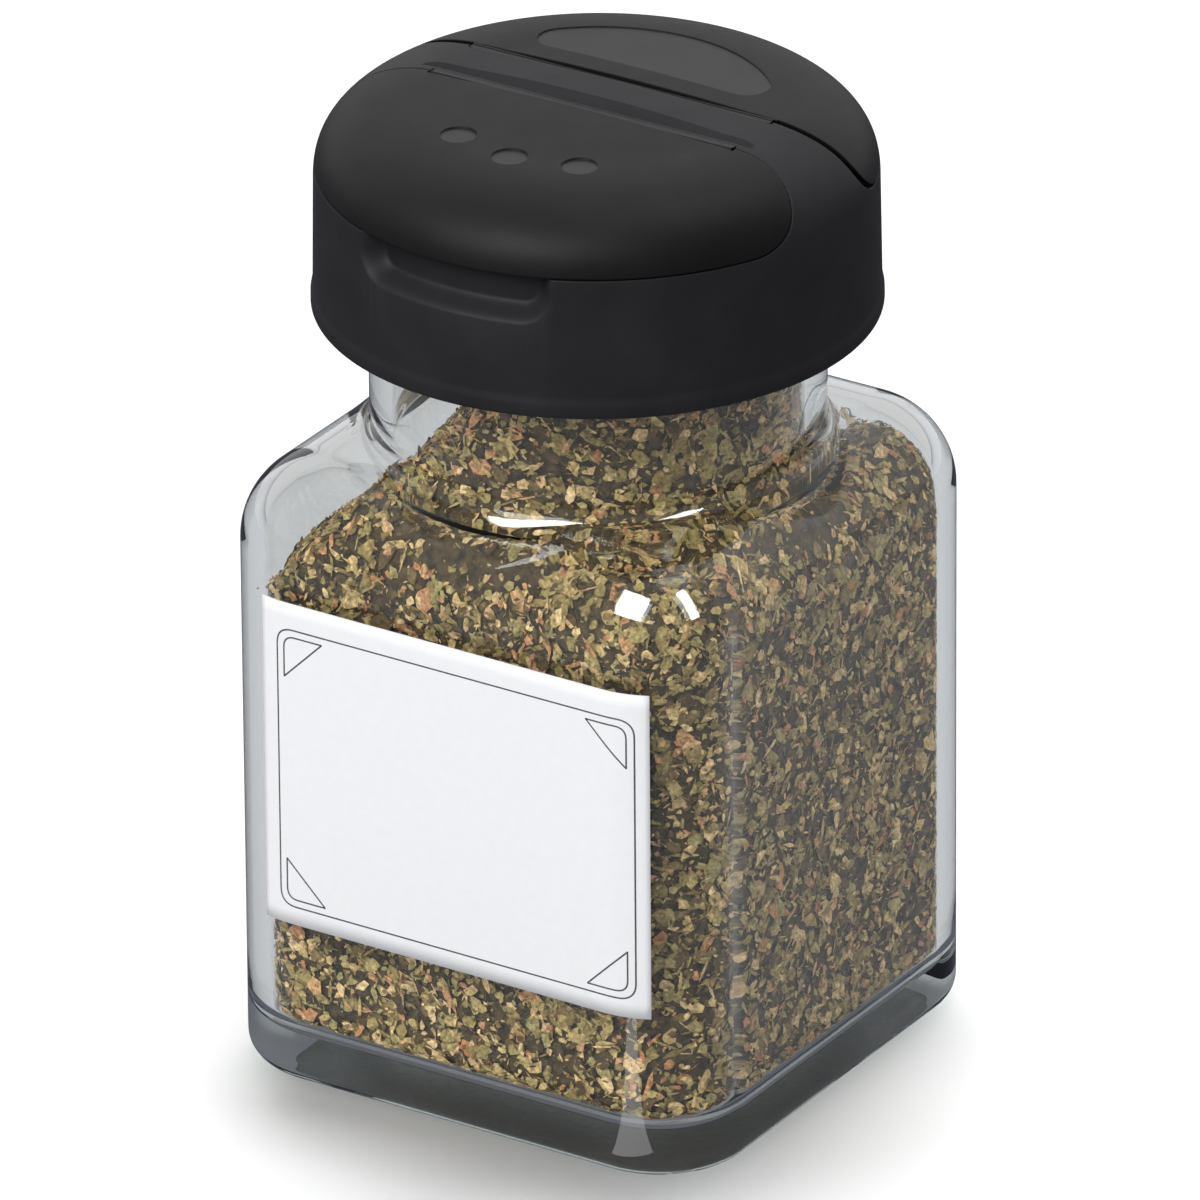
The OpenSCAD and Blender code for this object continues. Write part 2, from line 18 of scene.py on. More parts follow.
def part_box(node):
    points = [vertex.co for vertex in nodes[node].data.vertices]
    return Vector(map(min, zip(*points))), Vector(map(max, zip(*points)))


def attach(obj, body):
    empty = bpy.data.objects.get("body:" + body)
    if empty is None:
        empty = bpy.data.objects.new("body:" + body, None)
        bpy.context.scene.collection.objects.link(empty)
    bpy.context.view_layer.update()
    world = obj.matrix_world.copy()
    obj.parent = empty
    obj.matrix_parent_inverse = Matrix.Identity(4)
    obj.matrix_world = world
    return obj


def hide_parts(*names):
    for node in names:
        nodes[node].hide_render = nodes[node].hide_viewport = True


MM = 0.001
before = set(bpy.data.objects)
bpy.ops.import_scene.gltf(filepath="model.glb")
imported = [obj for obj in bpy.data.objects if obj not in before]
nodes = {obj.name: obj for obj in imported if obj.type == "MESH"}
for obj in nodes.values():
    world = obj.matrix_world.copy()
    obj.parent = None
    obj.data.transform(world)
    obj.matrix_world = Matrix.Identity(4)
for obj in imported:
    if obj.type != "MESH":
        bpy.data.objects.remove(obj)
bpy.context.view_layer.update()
random = np.random.default_rng(31)


def low_high(node):
    """The lowest and highest corner of a CAD node, in millimetres."""
    return tuple(np.array(corner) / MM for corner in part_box(node))


print("nodes:", sorted(nodes))

# %% [markdown]
# ## Sizes
#
# What a piece must fit comes from the frame's own boxes: the body's width, the top of
# the neck, the cap's rim. What a box can't tell, such as a corner's radius, is written
# here once as a plain dimension of the jar.

# %% Driving sizes
glass_low, glass_high = low_high("glass_jar")
half_w = glass_high[0]
land_z = glass_high[2]
corner_r = 8.8
wall_t = 2.1
base_t = 4.0
heel_r = 2.4
shoulder_z = land_z - 21
shoulder_r = 8.2
neck_r = 19.9
neck_wall = 2.0
bore_r = neck_r - neck_wall
foot_w = 3.2
punt_depth = 0.9
print("body", 2 * half_w, "mm square, neck", 2 * neck_r, "mm across, rim at", round(land_z, 2))

# %% [markdown]
# ## Helpers for meshes
#
# Two ways of making a mesh serve nearly every piece. A loft joins rings that have the
# same number of points, which suits moulded and turned walls. A loose list of
# triangles suits leaves. Both end in one function that writes the mesh, scales it to
# metres and gives the piece to its body and its material slot.


# %% Make a mesh and place it on its body
def mesh_object(name, points, faces, smooth=True):
    mesh = bpy.data.meshes.new(name)
    mesh.from_pydata((np.asarray(points) * MM).tolist(), [], [list(f) for f in faces])
    mesh.polygons.foreach_set("use_smooth", [smooth] * len(mesh.polygons))
    mesh.update()
    piece = bpy.data.objects.new(name, mesh)
    bpy.context.scene.collection.objects.link(piece)
    return piece


def give(piece, body, material, replaces=()):
    """Gives a finished piece its material, its body and the CAD nodes it stands for."""
    piece.data.materials.clear()
    piece.data.materials.append(material)
    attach(piece, body)
    if replaces:
        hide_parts(*replaces)
    triangles = sum(len(p.vertices) - 2 for p in piece.data.polygons)
    print(f"{piece.name}: {triangles} triangles on {body}")
    return piece


def loft_faces(rows, around):
    """Quads between rings of `around` points, and a fan at both ends to two poles."""
    faces = []
    for row in range(rows - 1):
        a = row * around
        for i in range(around):
            j = (i + 1) % around
            faces.append((a + i, a + j, a + around + j, a + around + i))
    first_pole = rows * around
    last = (rows - 1) * around
    for i in range(around):
        j = (i + 1) % around
        faces.append((first_pole, j, i))
        faces.append((first_pole + 1, last + i, last + j))
    return faces


# %% [markdown]
# ## The plan of the jar
#
# Looked at from above, every ring of the jar is a square with round corners or a
# circle. The square's points carry their outward directions, so an inner ring is the
# same list moved inwards. The height of the shoulder at any place follows from how far
# that place lies inside the square and how far it lies from the neck, which lets the
# square body flow into the round neck without a seam.

# %% Rounded square and its inward distance
FLAT_STEPS = 44
CORNER_STEPS = 32
AROUND = 4 * (FLAT_STEPS + CORNER_STEPS)


def square_ring(half, corner):
    """Points and outward directions of a rounded square, starting on the +X side."""
    points = []
    outward = []
    reach = half - corner
    for side in range(4):
        turn = side * math.pi / 2
        c, s = math.cos(turn), math.sin(turn)
        for i in range(FLAT_STEPS):
            y = reach * (2 * i / FLAT_STEPS - 1)
            points.append((half * c - y * s, half * s + y * c))
            outward.append((c, s))
        for i in range(CORNER_STEPS):
            a = turn + math.pi / 2 * i / CORNER_STEPS
            n = (math.cos(a), math.sin(a))
            centre = (reach * (c - s), reach * (s + c))
            points.append((centre[0] + corner * n[0], centre[1] + corner * n[1]))
            outward.append(n)
    return np.array(points), np.array(outward)


def circle_ring(radius):
    """As many points as the rounded square has, at even angles from the same corner."""
    start = -math.pi / 4 * FLAT_STEPS / (FLAT_STEPS + CORNER_STEPS)
    a = start + 2 * math.pi * np.arange(AROUND) / AROUND
    return radius * np.stack([np.cos(a), np.sin(a)], 1)


def inward(points, half, corner):
    """How far plan points lie inside a rounded square."""
    q = np.abs(points) - (half - corner)
    outside = np.hypot(np.maximum(q[:, 0], 0), np.maximum(q[:, 1], 0))
    return corner - outside - np.minimum(np.max(q, 1), 0)


def soft_max(a, b, width):
    near = np.maximum(width - np.abs(a - b), 0) / width
    return np.maximum(a, b) + near * near * width / 4


def flat_ring(points, z):
    return np.column_stack([points, np.broadcast_to(z, len(points))])


print(AROUND, "points to a ring")

# %% [markdown]
# ## Glass: the outside
#
# A jar like this is blown in a mould. The body has a heavy base with a shallow hollow
# under it, a ring that it stands on, a rounded heel and shoulder, and a round neck
# with one turn of thread under the cap. The outside is a stack of rings from the
# hollow to the rim.

# %% Outer rings
BLEND = 0.8
flare_r = 4.5
flare_z = shoulder_z + 2.1
flare_toe = neck_r + flare_r * (1 - math.cos(math.pi / 4))
flare_toe_z = flare_z - flare_r * math.sin(math.pi / 4)
flare_run = 1.2


def shoulder_height(depth, radius, top_z):
    """Height of a rounded shoulder at a depth inside its wall."""
    d = np.clip(depth, 0, radius)
    return top_z - radius + np.sqrt(np.maximum(radius**2 - (radius - d) ** 2, 0))


def flare_height(rho):
    """Height of the curve by which the neck spreads into the shoulder."""
    side = np.clip(neck_r + flare_r - rho, 0, flare_r)
    arc = flare_z - np.sqrt(flare_r**2 - side**2)
    line = flare_toe_z - (rho - flare_toe)
    past = np.maximum(rho - flare_toe - flare_run, 0)
    return np.where(rho < flare_toe, arc, line - 2.5 * past)


def eased(steps):
    """Shares from 0 to 1 that lie close together at both ends."""
    return 0.5 - 0.5 * np.cos(np.pi * np.arange(steps + 1) / steps)


def outer_rings():
    wall, out = square_ring(half_w, corner_r)
    punt_half = half_w - heel_r - foot_w
    punt_plan, _ = square_ring(punt_half, corner_r - heel_r - foot_w / 2)
    rings = []
    for share in np.linspace(0.06, 1, 14):
        z = punt_depth * (1 - share**5)
        rings.append(flat_ring(punt_plan * share, z))
    for share in np.linspace(0.25, 1, 4):
        edge = punt_plan + (wall - heel_r * out - punt_plan) * share
        rings.append(flat_ring(edge, 0))
    for angle in np.linspace(0, math.pi / 2, 10)[1:]:
        inset = heel_r * (1 - math.sin(angle))
        rings.append(flat_ring(wall - inset * out, heel_r * (1 - math.cos(angle))))
    wall_top = shoulder_z - shoulder_r
    for z in np.linspace(heel_r, wall_top, 14)[1:]:
        rings.append(flat_ring(wall, z))
    neck = circle_ring(neck_r)
    for share in eased(40)[1:]:
        plan = wall + (neck - wall) * share
        body = shoulder_height(inward(plan, half_w, corner_r), shoulder_r, shoulder_z)
        z = soft_max(body, flare_height(np.hypot(*plan.T)), BLEND)
        rings.append(flat_ring(plan, z))
    return rings


print(len(outer_rings()), "rings up to the neck")

# %% [markdown]
# ## Glass: neck and thread
#
# The thread is a ridge that climbs once round the neck. It could be a coil joined to
# the neck with a boolean, but pushing the neck's own points outwards where the ridge
# passes keeps the glass one clean skin.

# %% Neck rings with the thread
thread_depth = 1.05
thread_pitch = 4.2
thread_z = land_z - 6.6
thread_start = 5
thread_turns = 1.1
thread_ramp = 25
thread_half = 1.1
crest_half = 0.55
rim_r = 0.7


def thread_push(angle_deg, z):
    """How far the thread pushes the neck out at an angle and a height."""
    push = np.zeros_like(angle_deg)
    for lap in (0, 1):
        run = (angle_deg - thread_start) % 360 + 360 * lap
        left = thread_turns * 360 - run
        fade = np.clip(np.minimum(run, left) / thread_ramp, 0, 1)
        centre = thread_z + thread_pitch * (run + thread_start) / 360
        off = np.abs(z - centre)
        ridge = np.clip((thread_half - off) / (thread_half - crest_half), 0, 1)
        ridge = ridge * ridge * (3 - 2 * ridge)
        push = np.maximum(push, thread_depth * fade * ridge)
    return push


def neck_rings():
    plan = circle_ring(1)
    angle = np.degrees(np.arctan2(plan[:, 1], plan[:, 0]))
    rings = []
    for z in np.linspace(flare_z, land_z - rim_r, 62)[1:]:
        radius = neck_r + thread_push(angle, z)
        rings.append(flat_ring(plan * radius[:, None], z))
    for a in np.linspace(0, math.pi / 2, 7)[1:]:
        inset = rim_r * (1 - math.cos(a))
        rings.append(flat_ring(plan * (neck_r - inset), land_z - rim_r * (1 - math.sin(a))))
    for a in np.linspace(0, math.pi / 2, 7):
        inset = rim_r * math.sin(a)
        z = land_z - rim_r * (1 - math.cos(a))
        rings.append(flat_ring(plan * (bore_r + rim_r - inset), z))
    return rings


print(len(neck_rings()), "rings on the neck and its rim")

# %% [markdown]
# ## Glass: the inside
#
# The inner wall follows the outside at the wall's thickness, and turns into the bore
# over a soft edge. The same rings, drawn in by a small gap, bound the herbs, so the
# function takes the gap as a number.

# %% Inner rings
edge_r = 3.0
edge_rho = bore_r + edge_r
ceiling_z = shoulder_z - wall_t
edge_z = ceiling_z + edge_r


def inner_height(plan, gap):
    half, corner = half_w - wall_t - gap, corner_r - wall_t - gap
    radius = shoulder_r - wall_t - gap
    body = shoulder_height(inward(plan, half, corner), radius, ceiling_z - gap)
    rho = np.hypot(*plan.T)
    side = np.clip(edge_rho - rho, 0, edge_r + gap)
    edge = edge_z - np.sqrt((edge_r + gap) ** 2 - side**2)
    edge = edge - 3 * np.maximum(rho - edge_rho, 0)
    return soft_max(body, edge, BLEND)


def inner_rings(gap, top_z):
    """Rings from top_z in the bore down to the middle of the floor."""
    half, corner = half_w - wall_t - gap, corner_r - wall_t - gap
    wall, out = square_ring(half, corner)
    bore = circle_ring(bore_r - gap)
    rings = []
    for z in np.linspace(top_z, edge_z, 14):
        rings.append(flat_ring(bore, z))
    for share in eased(34)[1:]:
        plan = bore + (wall - bore) * share
        rings.append(flat_ring(plan, inner_height(plan, gap)))
    floor = base_t + gap
    wall_top = rings[-1][0, 2]
    for z in np.linspace(wall_top, floor + heel_r, 14)[1:]:
        rings.append(flat_ring(wall, z))
    for a in np.linspace(0, math.pi / 2, 9)[1:]:
        inset = heel_r * (1 - math.cos(a))
        rings.append(flat_ring(wall - inset * out, floor + heel_r * (1 - math.sin(a))))
    last = rings[-1][:, :2]
    for share in np.linspace(1, 0.06, 12)[1:]:
        rings.append(flat_ring(last * share, floor))
    return rings


def closed_loft(name, rings, first_z, last_z):
    points = np.concatenate(rings + [[[0, 0, first_z], [0, 0, last_z]]])
    return mesh_object(name, points, loft_faces(len(rings), AROUND))


glass = closed_loft(
    "glass_body",
    outer_rings() + neck_rings() + inner_rings(0, land_z - rim_r - 0.6),
    punt_depth,
    base_t,
)

# %% [markdown]
# ## Materials: a helper
#
# Every finish starts from one Principled shader. Numbers that are the same all over
# the surface are set on its own sockets. What varies, such as colour, roughness and
# grain, comes from noise in object space, so it keeps its size in millimetres.


# %% A finish and its nodes
class Finish:
    """A material with a Principled shader, and short ways to add nodes to it."""

    def __init__(self, name, **sockets):
        self.material = bpy.data.materials.new(name)
        self.material.use_nodes = True
        self.tree = self.material.node_tree
        self.shader = self.tree.nodes["Principled BSDF"]
        self.output = self.tree.nodes["Material Output"]
        for socket, value in sockets.items():
            self.shader.inputs[socket.replace("_", " ")].default_value = value
        self.place = self.node("ShaderNodeTexCoord").outputs["Object"]

    def node(self, kind, **settings):
        made = self.tree.nodes.new(kind)
        for name, value in settings.items():
            setattr(made, name, value)
        return made

    def link(self, source, target):
        self.tree.links.new(source, target)

    def noise(self, size_mm, detail=3.0, roughness=0.5):
        made = self.node("ShaderNodeTexNoise")
        made.inputs["Scale"].default_value = 1 / (size_mm * MM)
        made.inputs["Detail"].default_value = detail
        made.inputs["Roughness"].default_value = roughness
        self.link(self.place, made.inputs["Vector"])
        return made.outputs["Fac"]

    def ramp(self, source, stops):
        made = self.node("ShaderNodeValToRGB")
        while len(made.color_ramp.elements) < len(stops):
            made.color_ramp.elements.new(0.5)
        for element, (place, colour) in zip(made.color_ramp.elements, stops):
            element.position = place
            element.color = (*colour, 1)
        self.link(source, made.inputs["Fac"])
        return made.outputs["Color"]

    def spread(self, source, low, high):
        made = self.node("ShaderNodeMapRange")
        made.inputs["To Min"].default_value = low
        made.inputs["To Max"].default_value = high
        self.link(source, made.inputs["Value"])
        return made.outputs["Result"]

    def bump(self, source, depth_mm, strength=1.0, base=None):
        made = self.node("ShaderNodeBump")
        made.inputs["Distance"].default_value = depth_mm * MM
        made.inputs["Strength"].default_value = strength
        self.link(source, made.inputs["Height"])
        if base is not None:
            self.link(base, made.inputs["Normal"])
        return made.outputs["Normal"]

    def into(self, source, socket):
        self.link(source, self.shader.inputs[socket])


# %% [markdown]
# ## Glass: its finish
#
# Clear glass is all refraction. The shader takes the index and the clearness on its
# own sockets. Lamps don't pass through refracting glass without noise, so for shadow
# and diffuse rays the glass lets light straight through. A thin green-grey tint inside
# the glass shows at the thick base and along the edges.

# %% Glass material
clear = Finish("clear_glass", Transmission_Weight=1.0, IOR=1.5, Roughness=0.0)
apart = clear.node("ShaderNodeSeparateXYZ")
clear.link(clear.place, apart.inputs[0])


def below(source, limit_mm):
    """1 where a length stays under a limit."""
    made = clear.node("ShaderNodeMath", operation="LESS_THAN")
    made.inputs[1].default_value = limit_mm * MM
    clear.link(source, made.inputs[0])
    return made.outputs[0]


def joined(operation, first, second=None):
    made = clear.node("ShaderNodeMath", operation=operation)
    clear.link(first, made.inputs[0])
    if second is not None:
        clear.link(second, made.inputs[1])
    return made.outputs[0]


across_x = joined("ABSOLUTE", apart.outputs["X"])
across_y = joined("ABSOLUTE", apart.outputs["Y"])
under = joined(
    "MULTIPLY",
    below(apart.outputs["Z"], punt_depth + 0.1),
    below(joined("MAXIMUM", across_x, across_y), half_w - heel_r),
)
stipple = clear.spread(clear.noise(0.8, 3), 0.25, 0.6)
polish = clear.spread(clear.noise(4, 2), 0.0, 0.004)
clear.into(joined("MAXIMUM", polish, joined("MULTIPLY", stipple, under)), "Roughness")
# Clear glass is tinted faintly blue-white. On the stippled underside the tint turns dark olive-brown, which is
# painted shade for the shadowed floor under the jar.
glass_tint_and_shade = clear.node("ShaderNodeMix", data_type="RGBA")
clear.link(under, glass_tint_and_shade.inputs["Factor"])
glass_tint_and_shade.inputs["A"].default_value = (0.97, 0.985, 0.99, 1)
glass_tint_and_shade.inputs["B"].default_value = (0.55, 0.52, 0.43, 1)
clear.into(glass_tint_and_shade.outputs["Result"], "Base Color")
light_path = clear.node("ShaderNodeLightPath")
passing = clear.node("ShaderNodeMath", operation="MAXIMUM")
clear.link(light_path.outputs["Is Shadow Ray"], passing.inputs[0])
clear.link(light_path.outputs["Is Diffuse Ray"], passing.inputs[1])
straight = clear.node("ShaderNodeBsdfTransparent")
straight.inputs["Color"].default_value = (0.93, 0.95, 0.95, 1)
either = clear.node("ShaderNodeMixShader")
clear.link(passing.outputs[0], either.inputs["Fac"])
clear.link(clear.shader.outputs[0], either.inputs[1])
clear.link(straight.outputs[0], either.inputs[2])
clear.link(either.outputs[0], clear.output.inputs["Surface"])
tint = clear.node("ShaderNodeVolumeAbsorption")
tint.inputs["Color"].default_value = (0.50, 0.62, 0.56, 1)
tint.inputs["Density"].default_value = 15
clear.link(tint.outputs[0], clear.output.inputs["Volume"])
give(glass, "jar", clear.material, ["glass_jar"])

# %% [markdown]
# ## Herbs: the heap
#
# The herbs are one heap of dried, rubbed leaves that fills the jar, slack towards one
# corner, with its loose top sloping up into the neck. A near-black core gives the heap its
# body: its colour is painted shade for the deep gaps between the leaves. It is the inner
# wall's own rings, drawn in and cut by the sloping plane.

# %% The heap's shape
herb_low, herb_high = low_high("herb_fill")
herb_top_z = herb_high[2]
slack_z = shoulder_z - 11.7
slack_corner = half_w - corner_r + (corner_r - wall_t) / math.sqrt(2)
slack_turn = math.radians(10)
slope = math.radians(45)


def heap(name, gap, sink):
    """The herbs' space drawn in by a gap, with its sloping top sunk a little."""
    rings = inner_rings(gap, herb_top_z - sink)
    for ring in rings:
        near = np.clip((ring[:, 2] - 46) / 8, 0, 1) * np.clip((61 - ring[:, 2]) / 3, 0, 1)
        aside = np.clip((np.hypot(ring[:, 0], ring[:, 1]) - bore_r) / 3, 0, 1)
        ring[:, 2] -= 1.3 * near * aside * np.clip((ring[:, 0] + 2) / 10, 0, 1)
    piece = closed_loft(name, rings, herb_top_z - sink, base_t + gap)
    u = np.array([math.cos(slack_turn), math.sin(slack_turn), 0])
    start = np.array([-slack_corner, -slack_corner, slack_z - sink])
    up = np.array([0, 0, 1]) * math.cos(slope) - u * math.sin(slope)
    form = bmesh.new()
    form.from_mesh(piece.data)
    parts = form.verts[:] + form.edges[:] + form.faces[:]
    cut = bmesh.ops.bisect_plane(
        form, geom=parts, plane_co=start * MM, plane_no=up, clear_outer=True
    )
    edges = [e for e in cut["geom_cut"] if isinstance(e, bmesh.types.BMEdge)]
    bmesh.ops.contextual_create(form, geom=edges)
    bmesh.ops.recalc_face_normals(form, faces=form.faces[:])
    form.to_mesh(piece.data)
    form.free()
    return piece


core = heap("herb_core", 0.75, 0.8)
print("heap from", round(base_t, 1), "to", round(herb_top_z, 1), "mm")

# %% [markdown]
# ## Herbs: flakes
#
# Rubbed leaves are small curled plates. Each flake here is a closed lens of six
# corners, bent across its length, a tenth of a millimetre thick. Flakes are dropped at
# random over the heap's skin and lie nearly flat against the glass, as the real ones
# do, in a few layers with gaps between them.

# %% Points and directions on a skin
def skin_points(piece, count):
    """Random points on a mesh, in millimetres, with the outward direction at each."""
    piece.data.calc_loop_triangles()
    co = np.array([v.co for v in piece.data.vertices]) / MM
    tris = np.array([t.vertices[:] for t in piece.data.loop_triangles])
    a, b, c = co[tris[:, 0]], co[tris[:, 1]], co[tris[:, 2]]
    cross = np.cross(b - a, c - a)
    area = np.linalg.norm(cross, axis=1) / 2
    pick = random.choice(len(tris), count, p=area / area.sum())
    s, t = random.random(count), random.random(count)
    s, t = np.where(s + t > 1, 1 - s, s), np.where(s + t > 1, 1 - t, t)
    points = a[pick] + s[:, None] * (b[pick] - a[pick]) + t[:, None] * (c[pick] - a[pick])
    return points, cross[pick] / (2 * area[pick])[:, None], area.sum()


def unit(v):
    return v / np.maximum(np.linalg.norm(v, axis=1, keepdims=True), 1e-9)


def flakes(points, normals, length, width, thick, lean, sides=6):
    """Closed lens-shaped plates. Lengths, widths and leans are arrays, one per plate."""
    count = len(points)
    side = unit(np.cross(normals, random.normal(size=(count, 3))))
    tilt = random.normal(size=count) * lean
    axis = side * np.cos(tilt)[:, None] + normals * np.sin(tilt)[:, None]
    cross = np.cross(normals, side)
    roll = random.normal(size=count) * lean
    across = cross * np.cos(roll)[:, None] + normals * np.sin(roll)[:, None]
    face = unit(np.cross(axis, across))
    across = np.cross(face, axis)
    angle = 2 * np.pi * (np.arange(sides)[None] + random.uniform(-0.3, 0.3, (count, sides))) / sides
    reach = random.uniform(0.7, 1.1, (count, sides))
    u = np.cos(angle) * reach * length[:, None] / 2
    v = np.sin(angle) * reach * width[:, None] / 2
    curl = random.uniform(-0.9, 0.9, count)[:, None]
    lift = curl * v * v / width[:, None] + 0.15 * curl * u
    corner = (
        points[:, None]
        + u[..., None] * axis[:, None]
        + v[..., None] * across[:, None]
        + lift[..., None] * face[:, None]
    )
    rise = np.einsum("kij,kj->ki", corner - points[:, None], normals).max(1)
    drop = normals * (rise + thick + length**2 / 54)[:, None]
    corner = corner - drop[:, None]
    top = points - drop + thick * face
    bottom = points - drop - thick * face
    verts = np.concatenate([corner, top[:, None], bottom[:, None]], 1)
    k = np.arange(sides)
    upper = np.stack([k, (k + 1) % sides, np.full(sides, sides)], 1)
    lower = np.stack([(k + 1) % sides, k, np.full(sides, sides + 1)], 1)
    one = np.concatenate([upper, lower])
    tris = one[None] + (np.arange(count) * (sides + 2))[:, None, None]
    return verts.reshape(-1, 3), tris.reshape(-1, 3)


def leaf_layer(name, skin, per_mm2, sizes, depth, lean, sides, slim=(0.45, 0.95)):
    """One piece of many flakes under the skin of the heap."""
    _, _, area = skin_points(skin, 1)
    count = int(area * per_mm2)
    points, normals, _ = skin_points(skin, count)
    length = sizes[0] * np.exp(random.normal(size=count) * sizes[1])
    width = length * random.uniform(*slim, count)
    under = depth[0] + random.uniform(0, depth[1], count)
    verts, tris = flakes(points - normals * under[:, None], normals, length, width, 0.05, lean, sides)
    piece = mesh_object(name, verts, tris, smooth=False)
    tone = np.repeat(random.random(count), sides + 2)
    attribute = piece.data.attributes.new("tone", "FLOAT", "POINT")
    attribute.data.foreach_set("value", tone.astype(np.float32))
    return piece


skin = heap("herb_skin", 0.12, 0.0)
broad = leaf_layer("herb_leaves", skin, 0.7, (1.75, 0.4), (0.0, 0.45), 0.26, 8)
small = leaf_layer("herb_flakes", skin, 1.42, (1.05, 0.38), (0.0, 0.5), 0.42, 5)
crumbs = leaf_layer("herb_crumbs", skin, 1.2, (0.5, 0.35), (0.0, 0.35), 0.8, 4)
stems = leaf_layer("herb_stems", skin, 0.22, (2.0, 0.4), (0.0, 0.3), 0.15, 5, (0.08, 0.2))
bpy.data.objects.remove(skin)

# %% [markdown]
# ## Herbs: colours
#
# A spoonful of dried leaves holds olive, grey-green, tan and brown, and now and then a
# rust or pinkish piece. Each flake has one number from 0 to 1, its tone, and a ramp
# turns it into one of those colours. Fine noise adds the leaf's veins and dust.

# %% Herb material
herb_tones = [
    (0.00, (0.045, 0.024, 0.009)),
    (0.11, (0.110, 0.066, 0.024)),
    (0.25, (0.280, 0.190, 0.066)),
    (0.40, (0.360, 0.275, 0.098)),
    (0.54, (0.400, 0.325, 0.140)),
    (0.66, (0.580, 0.425, 0.175)),
    (0.77, (0.740, 0.500, 0.235)),
    (0.87, (0.880, 0.630, 0.340)),
    (0.95, (0.520, 0.220, 0.090)),
    (1.00, (0.640, 0.330, 0.170)),
]
dried = Finish("dried_leaf", Roughness=0.75)
tone = dried.node("ShaderNodeAttribute", attribute_name="tone").outputs["Fac"]
leaf_colour = dried.ramp(tone, herb_tones)
speck = dried.ramp(dried.noise(0.35, 4), [(0.3, (0.42, 0.39, 0.34)), (0.7, (1.25, 1.25, 1.2))])
mixed = dried.node("ShaderNodeMix", data_type="RGBA", blend_type="MULTIPLY")
mixed.inputs["Factor"].default_value = 1
dried.link(leaf_colour, mixed.inputs["A"])
dried.link(speck, mixed.inputs["B"])
dried.into(mixed.outputs["Result"], "Base Color")
folds = dried.bump(dried.noise(0.55, 2), 0.22)
dried.into(dried.bump(dried.noise(0.16, 2), 0.06, 1.0, folds), "Normal")

# The core's near-black colour is painted shade for the unlit depths of the heap.
dark = Finish("herb_shade", Roughness=0.9)
dark.into(dark.ramp(dark.noise(0.9, 5), [(0.35, (0.016, 0.010, 0.004)), (0.65, (0.09, 0.06, 0.026))]), "Base Color")
dark.into(dark.bump(dark.noise(0.7, 4), 0.5), "Normal")
give(core, "jar", dark.material, ["herb_fill"])
for layer in (broad, small, crumbs, stems):
    give(layer, "jar", dried.material)

# %% [markdown]
# ## Label
#
# The label is a blank sheet of white paper, wide enough to bend a little round both
# corners of its face. Its printed border is a fine line with rounded corners and an
# outlined triangle in each corner. Both are thin solids that follow the glass, so the
# print stays sharp at any distance.

# %% Paper that follows the glass
label_low, label_high = low_high("paper_label")
label_x = (label_low[0], label_high[0])
label_z = (label_low[2], label_high[2])
paper_t = 0.1


def on_front(x, z, proud):
    """A point on the jar's label side, standing proud of the glass."""
    reach = half_w - corner_r
    over = np.clip(np.abs(x) - reach, 0, None)
    bend = np.arcsin(np.clip(over / corner_r, 0, 1))
    px = np.sign(x) * (np.minimum(np.abs(x), reach) + (corner_r + proud) * np.sin(bend))
    py = -(reach + (corner_r + proud) * np.cos(bend))
    return np.stack([px, py, np.broadcast_to(z, px.shape)], -1)


def paper_sheet(name, xs, zs, back, front):
    nx, nz = len(xs), len(zs)
    gx, gz = np.meshgrid(xs, zs)
    outer = on_front(gx.ravel(), gz.ravel(), front)
    inner = on_front(gx.ravel(), gz.ravel(), back)
    faces = []
    for r in range(nz - 1):
        for c in range(nx - 1):
            a = r * nx + c
            faces.append((a, a + 1, a + nx + 1, a + nx))
            faces.append(tuple(k + nx * nz for k in (a, a + nx, a + nx + 1, a + 1)))
    rim = [c for c in range(nx)]
    rim += [r * nx + nx - 1 for r in range(1, nz)]
    rim += [(nz - 1) * nx + c for c in range(nx - 2, -1, -1)]
    rim += [r * nx for r in range(nz - 2, 0, -1)]
    for a, b in zip(rim, rim[1:] + rim[:1]):
        faces.append((b, a, a + nx * nz, b + nx * nz))
    return mesh_object(name, np.concatenate([outer, inner]), faces)


label = paper_sheet(
    "label_paper", np.linspace(*label_x, 80), np.linspace(*label_z, 24), 0.02, 0.02 + paper_t
)
paper = Finish("label_paper", Roughness=0.62)
paper.into(paper.ramp(paper.noise(0.9, 5), [(0.3, (0.92, 0.92, 0.935)), (0.7, (0.94, 0.94, 0.955))]), "Base Color")
paper.into(paper.bump(paper.noise(0.25, 4), 0.01), "Normal")
give(label, "jar", paper.material, ["paper_label"])

# %% [markdown]
# The border's line is a closed loop of points in the label's own plane. Each point
# gets two neighbours, half a line's width to either side, and the ribbon between them
# is lifted a hair above the paper.

# %% Printed lines
ink_w = 0.14
ink_t = 0.012


def rounded_loop(corners, radii, steps=8):
    """A closed outline whose corners are rounded by their own radii."""
    points = []
    count = len(corners)
    for i, (corner, radius) in enumerate(zip(corners, radii)):
        here = np.array(corner, float)
        before = np.array(corners[i - 1], float) - here
        after = np.array(corners[(i + 1) % count], float) - here
        before, after = before / np.linalg.norm(before), after / np.linalg.norm(after)
        half = math.acos(float(np.clip(before @ after, -1, 1))) / 2
        reach = radius / math.tan(half)
        start, end = here + before * reach, here + after * reach
        for t in np.linspace(0, 1, steps + 1):
            points.append((1 - t) ** 2 * start + 2 * t * (1 - t) * here + t * t * end)
    return np.array(points)


def finely(loop, step=0.4):
    """The same loop with its long runs cut up, so that it can bend with the paper."""
    points = []
    for a, b in zip(loop, np.roll(loop, -1, 0)):
        cuts = max(1, int(np.linalg.norm(b - a) / step))
        points.extend(a + (b - a) * k / cuts for k in range(cuts))
    return np.array(points)


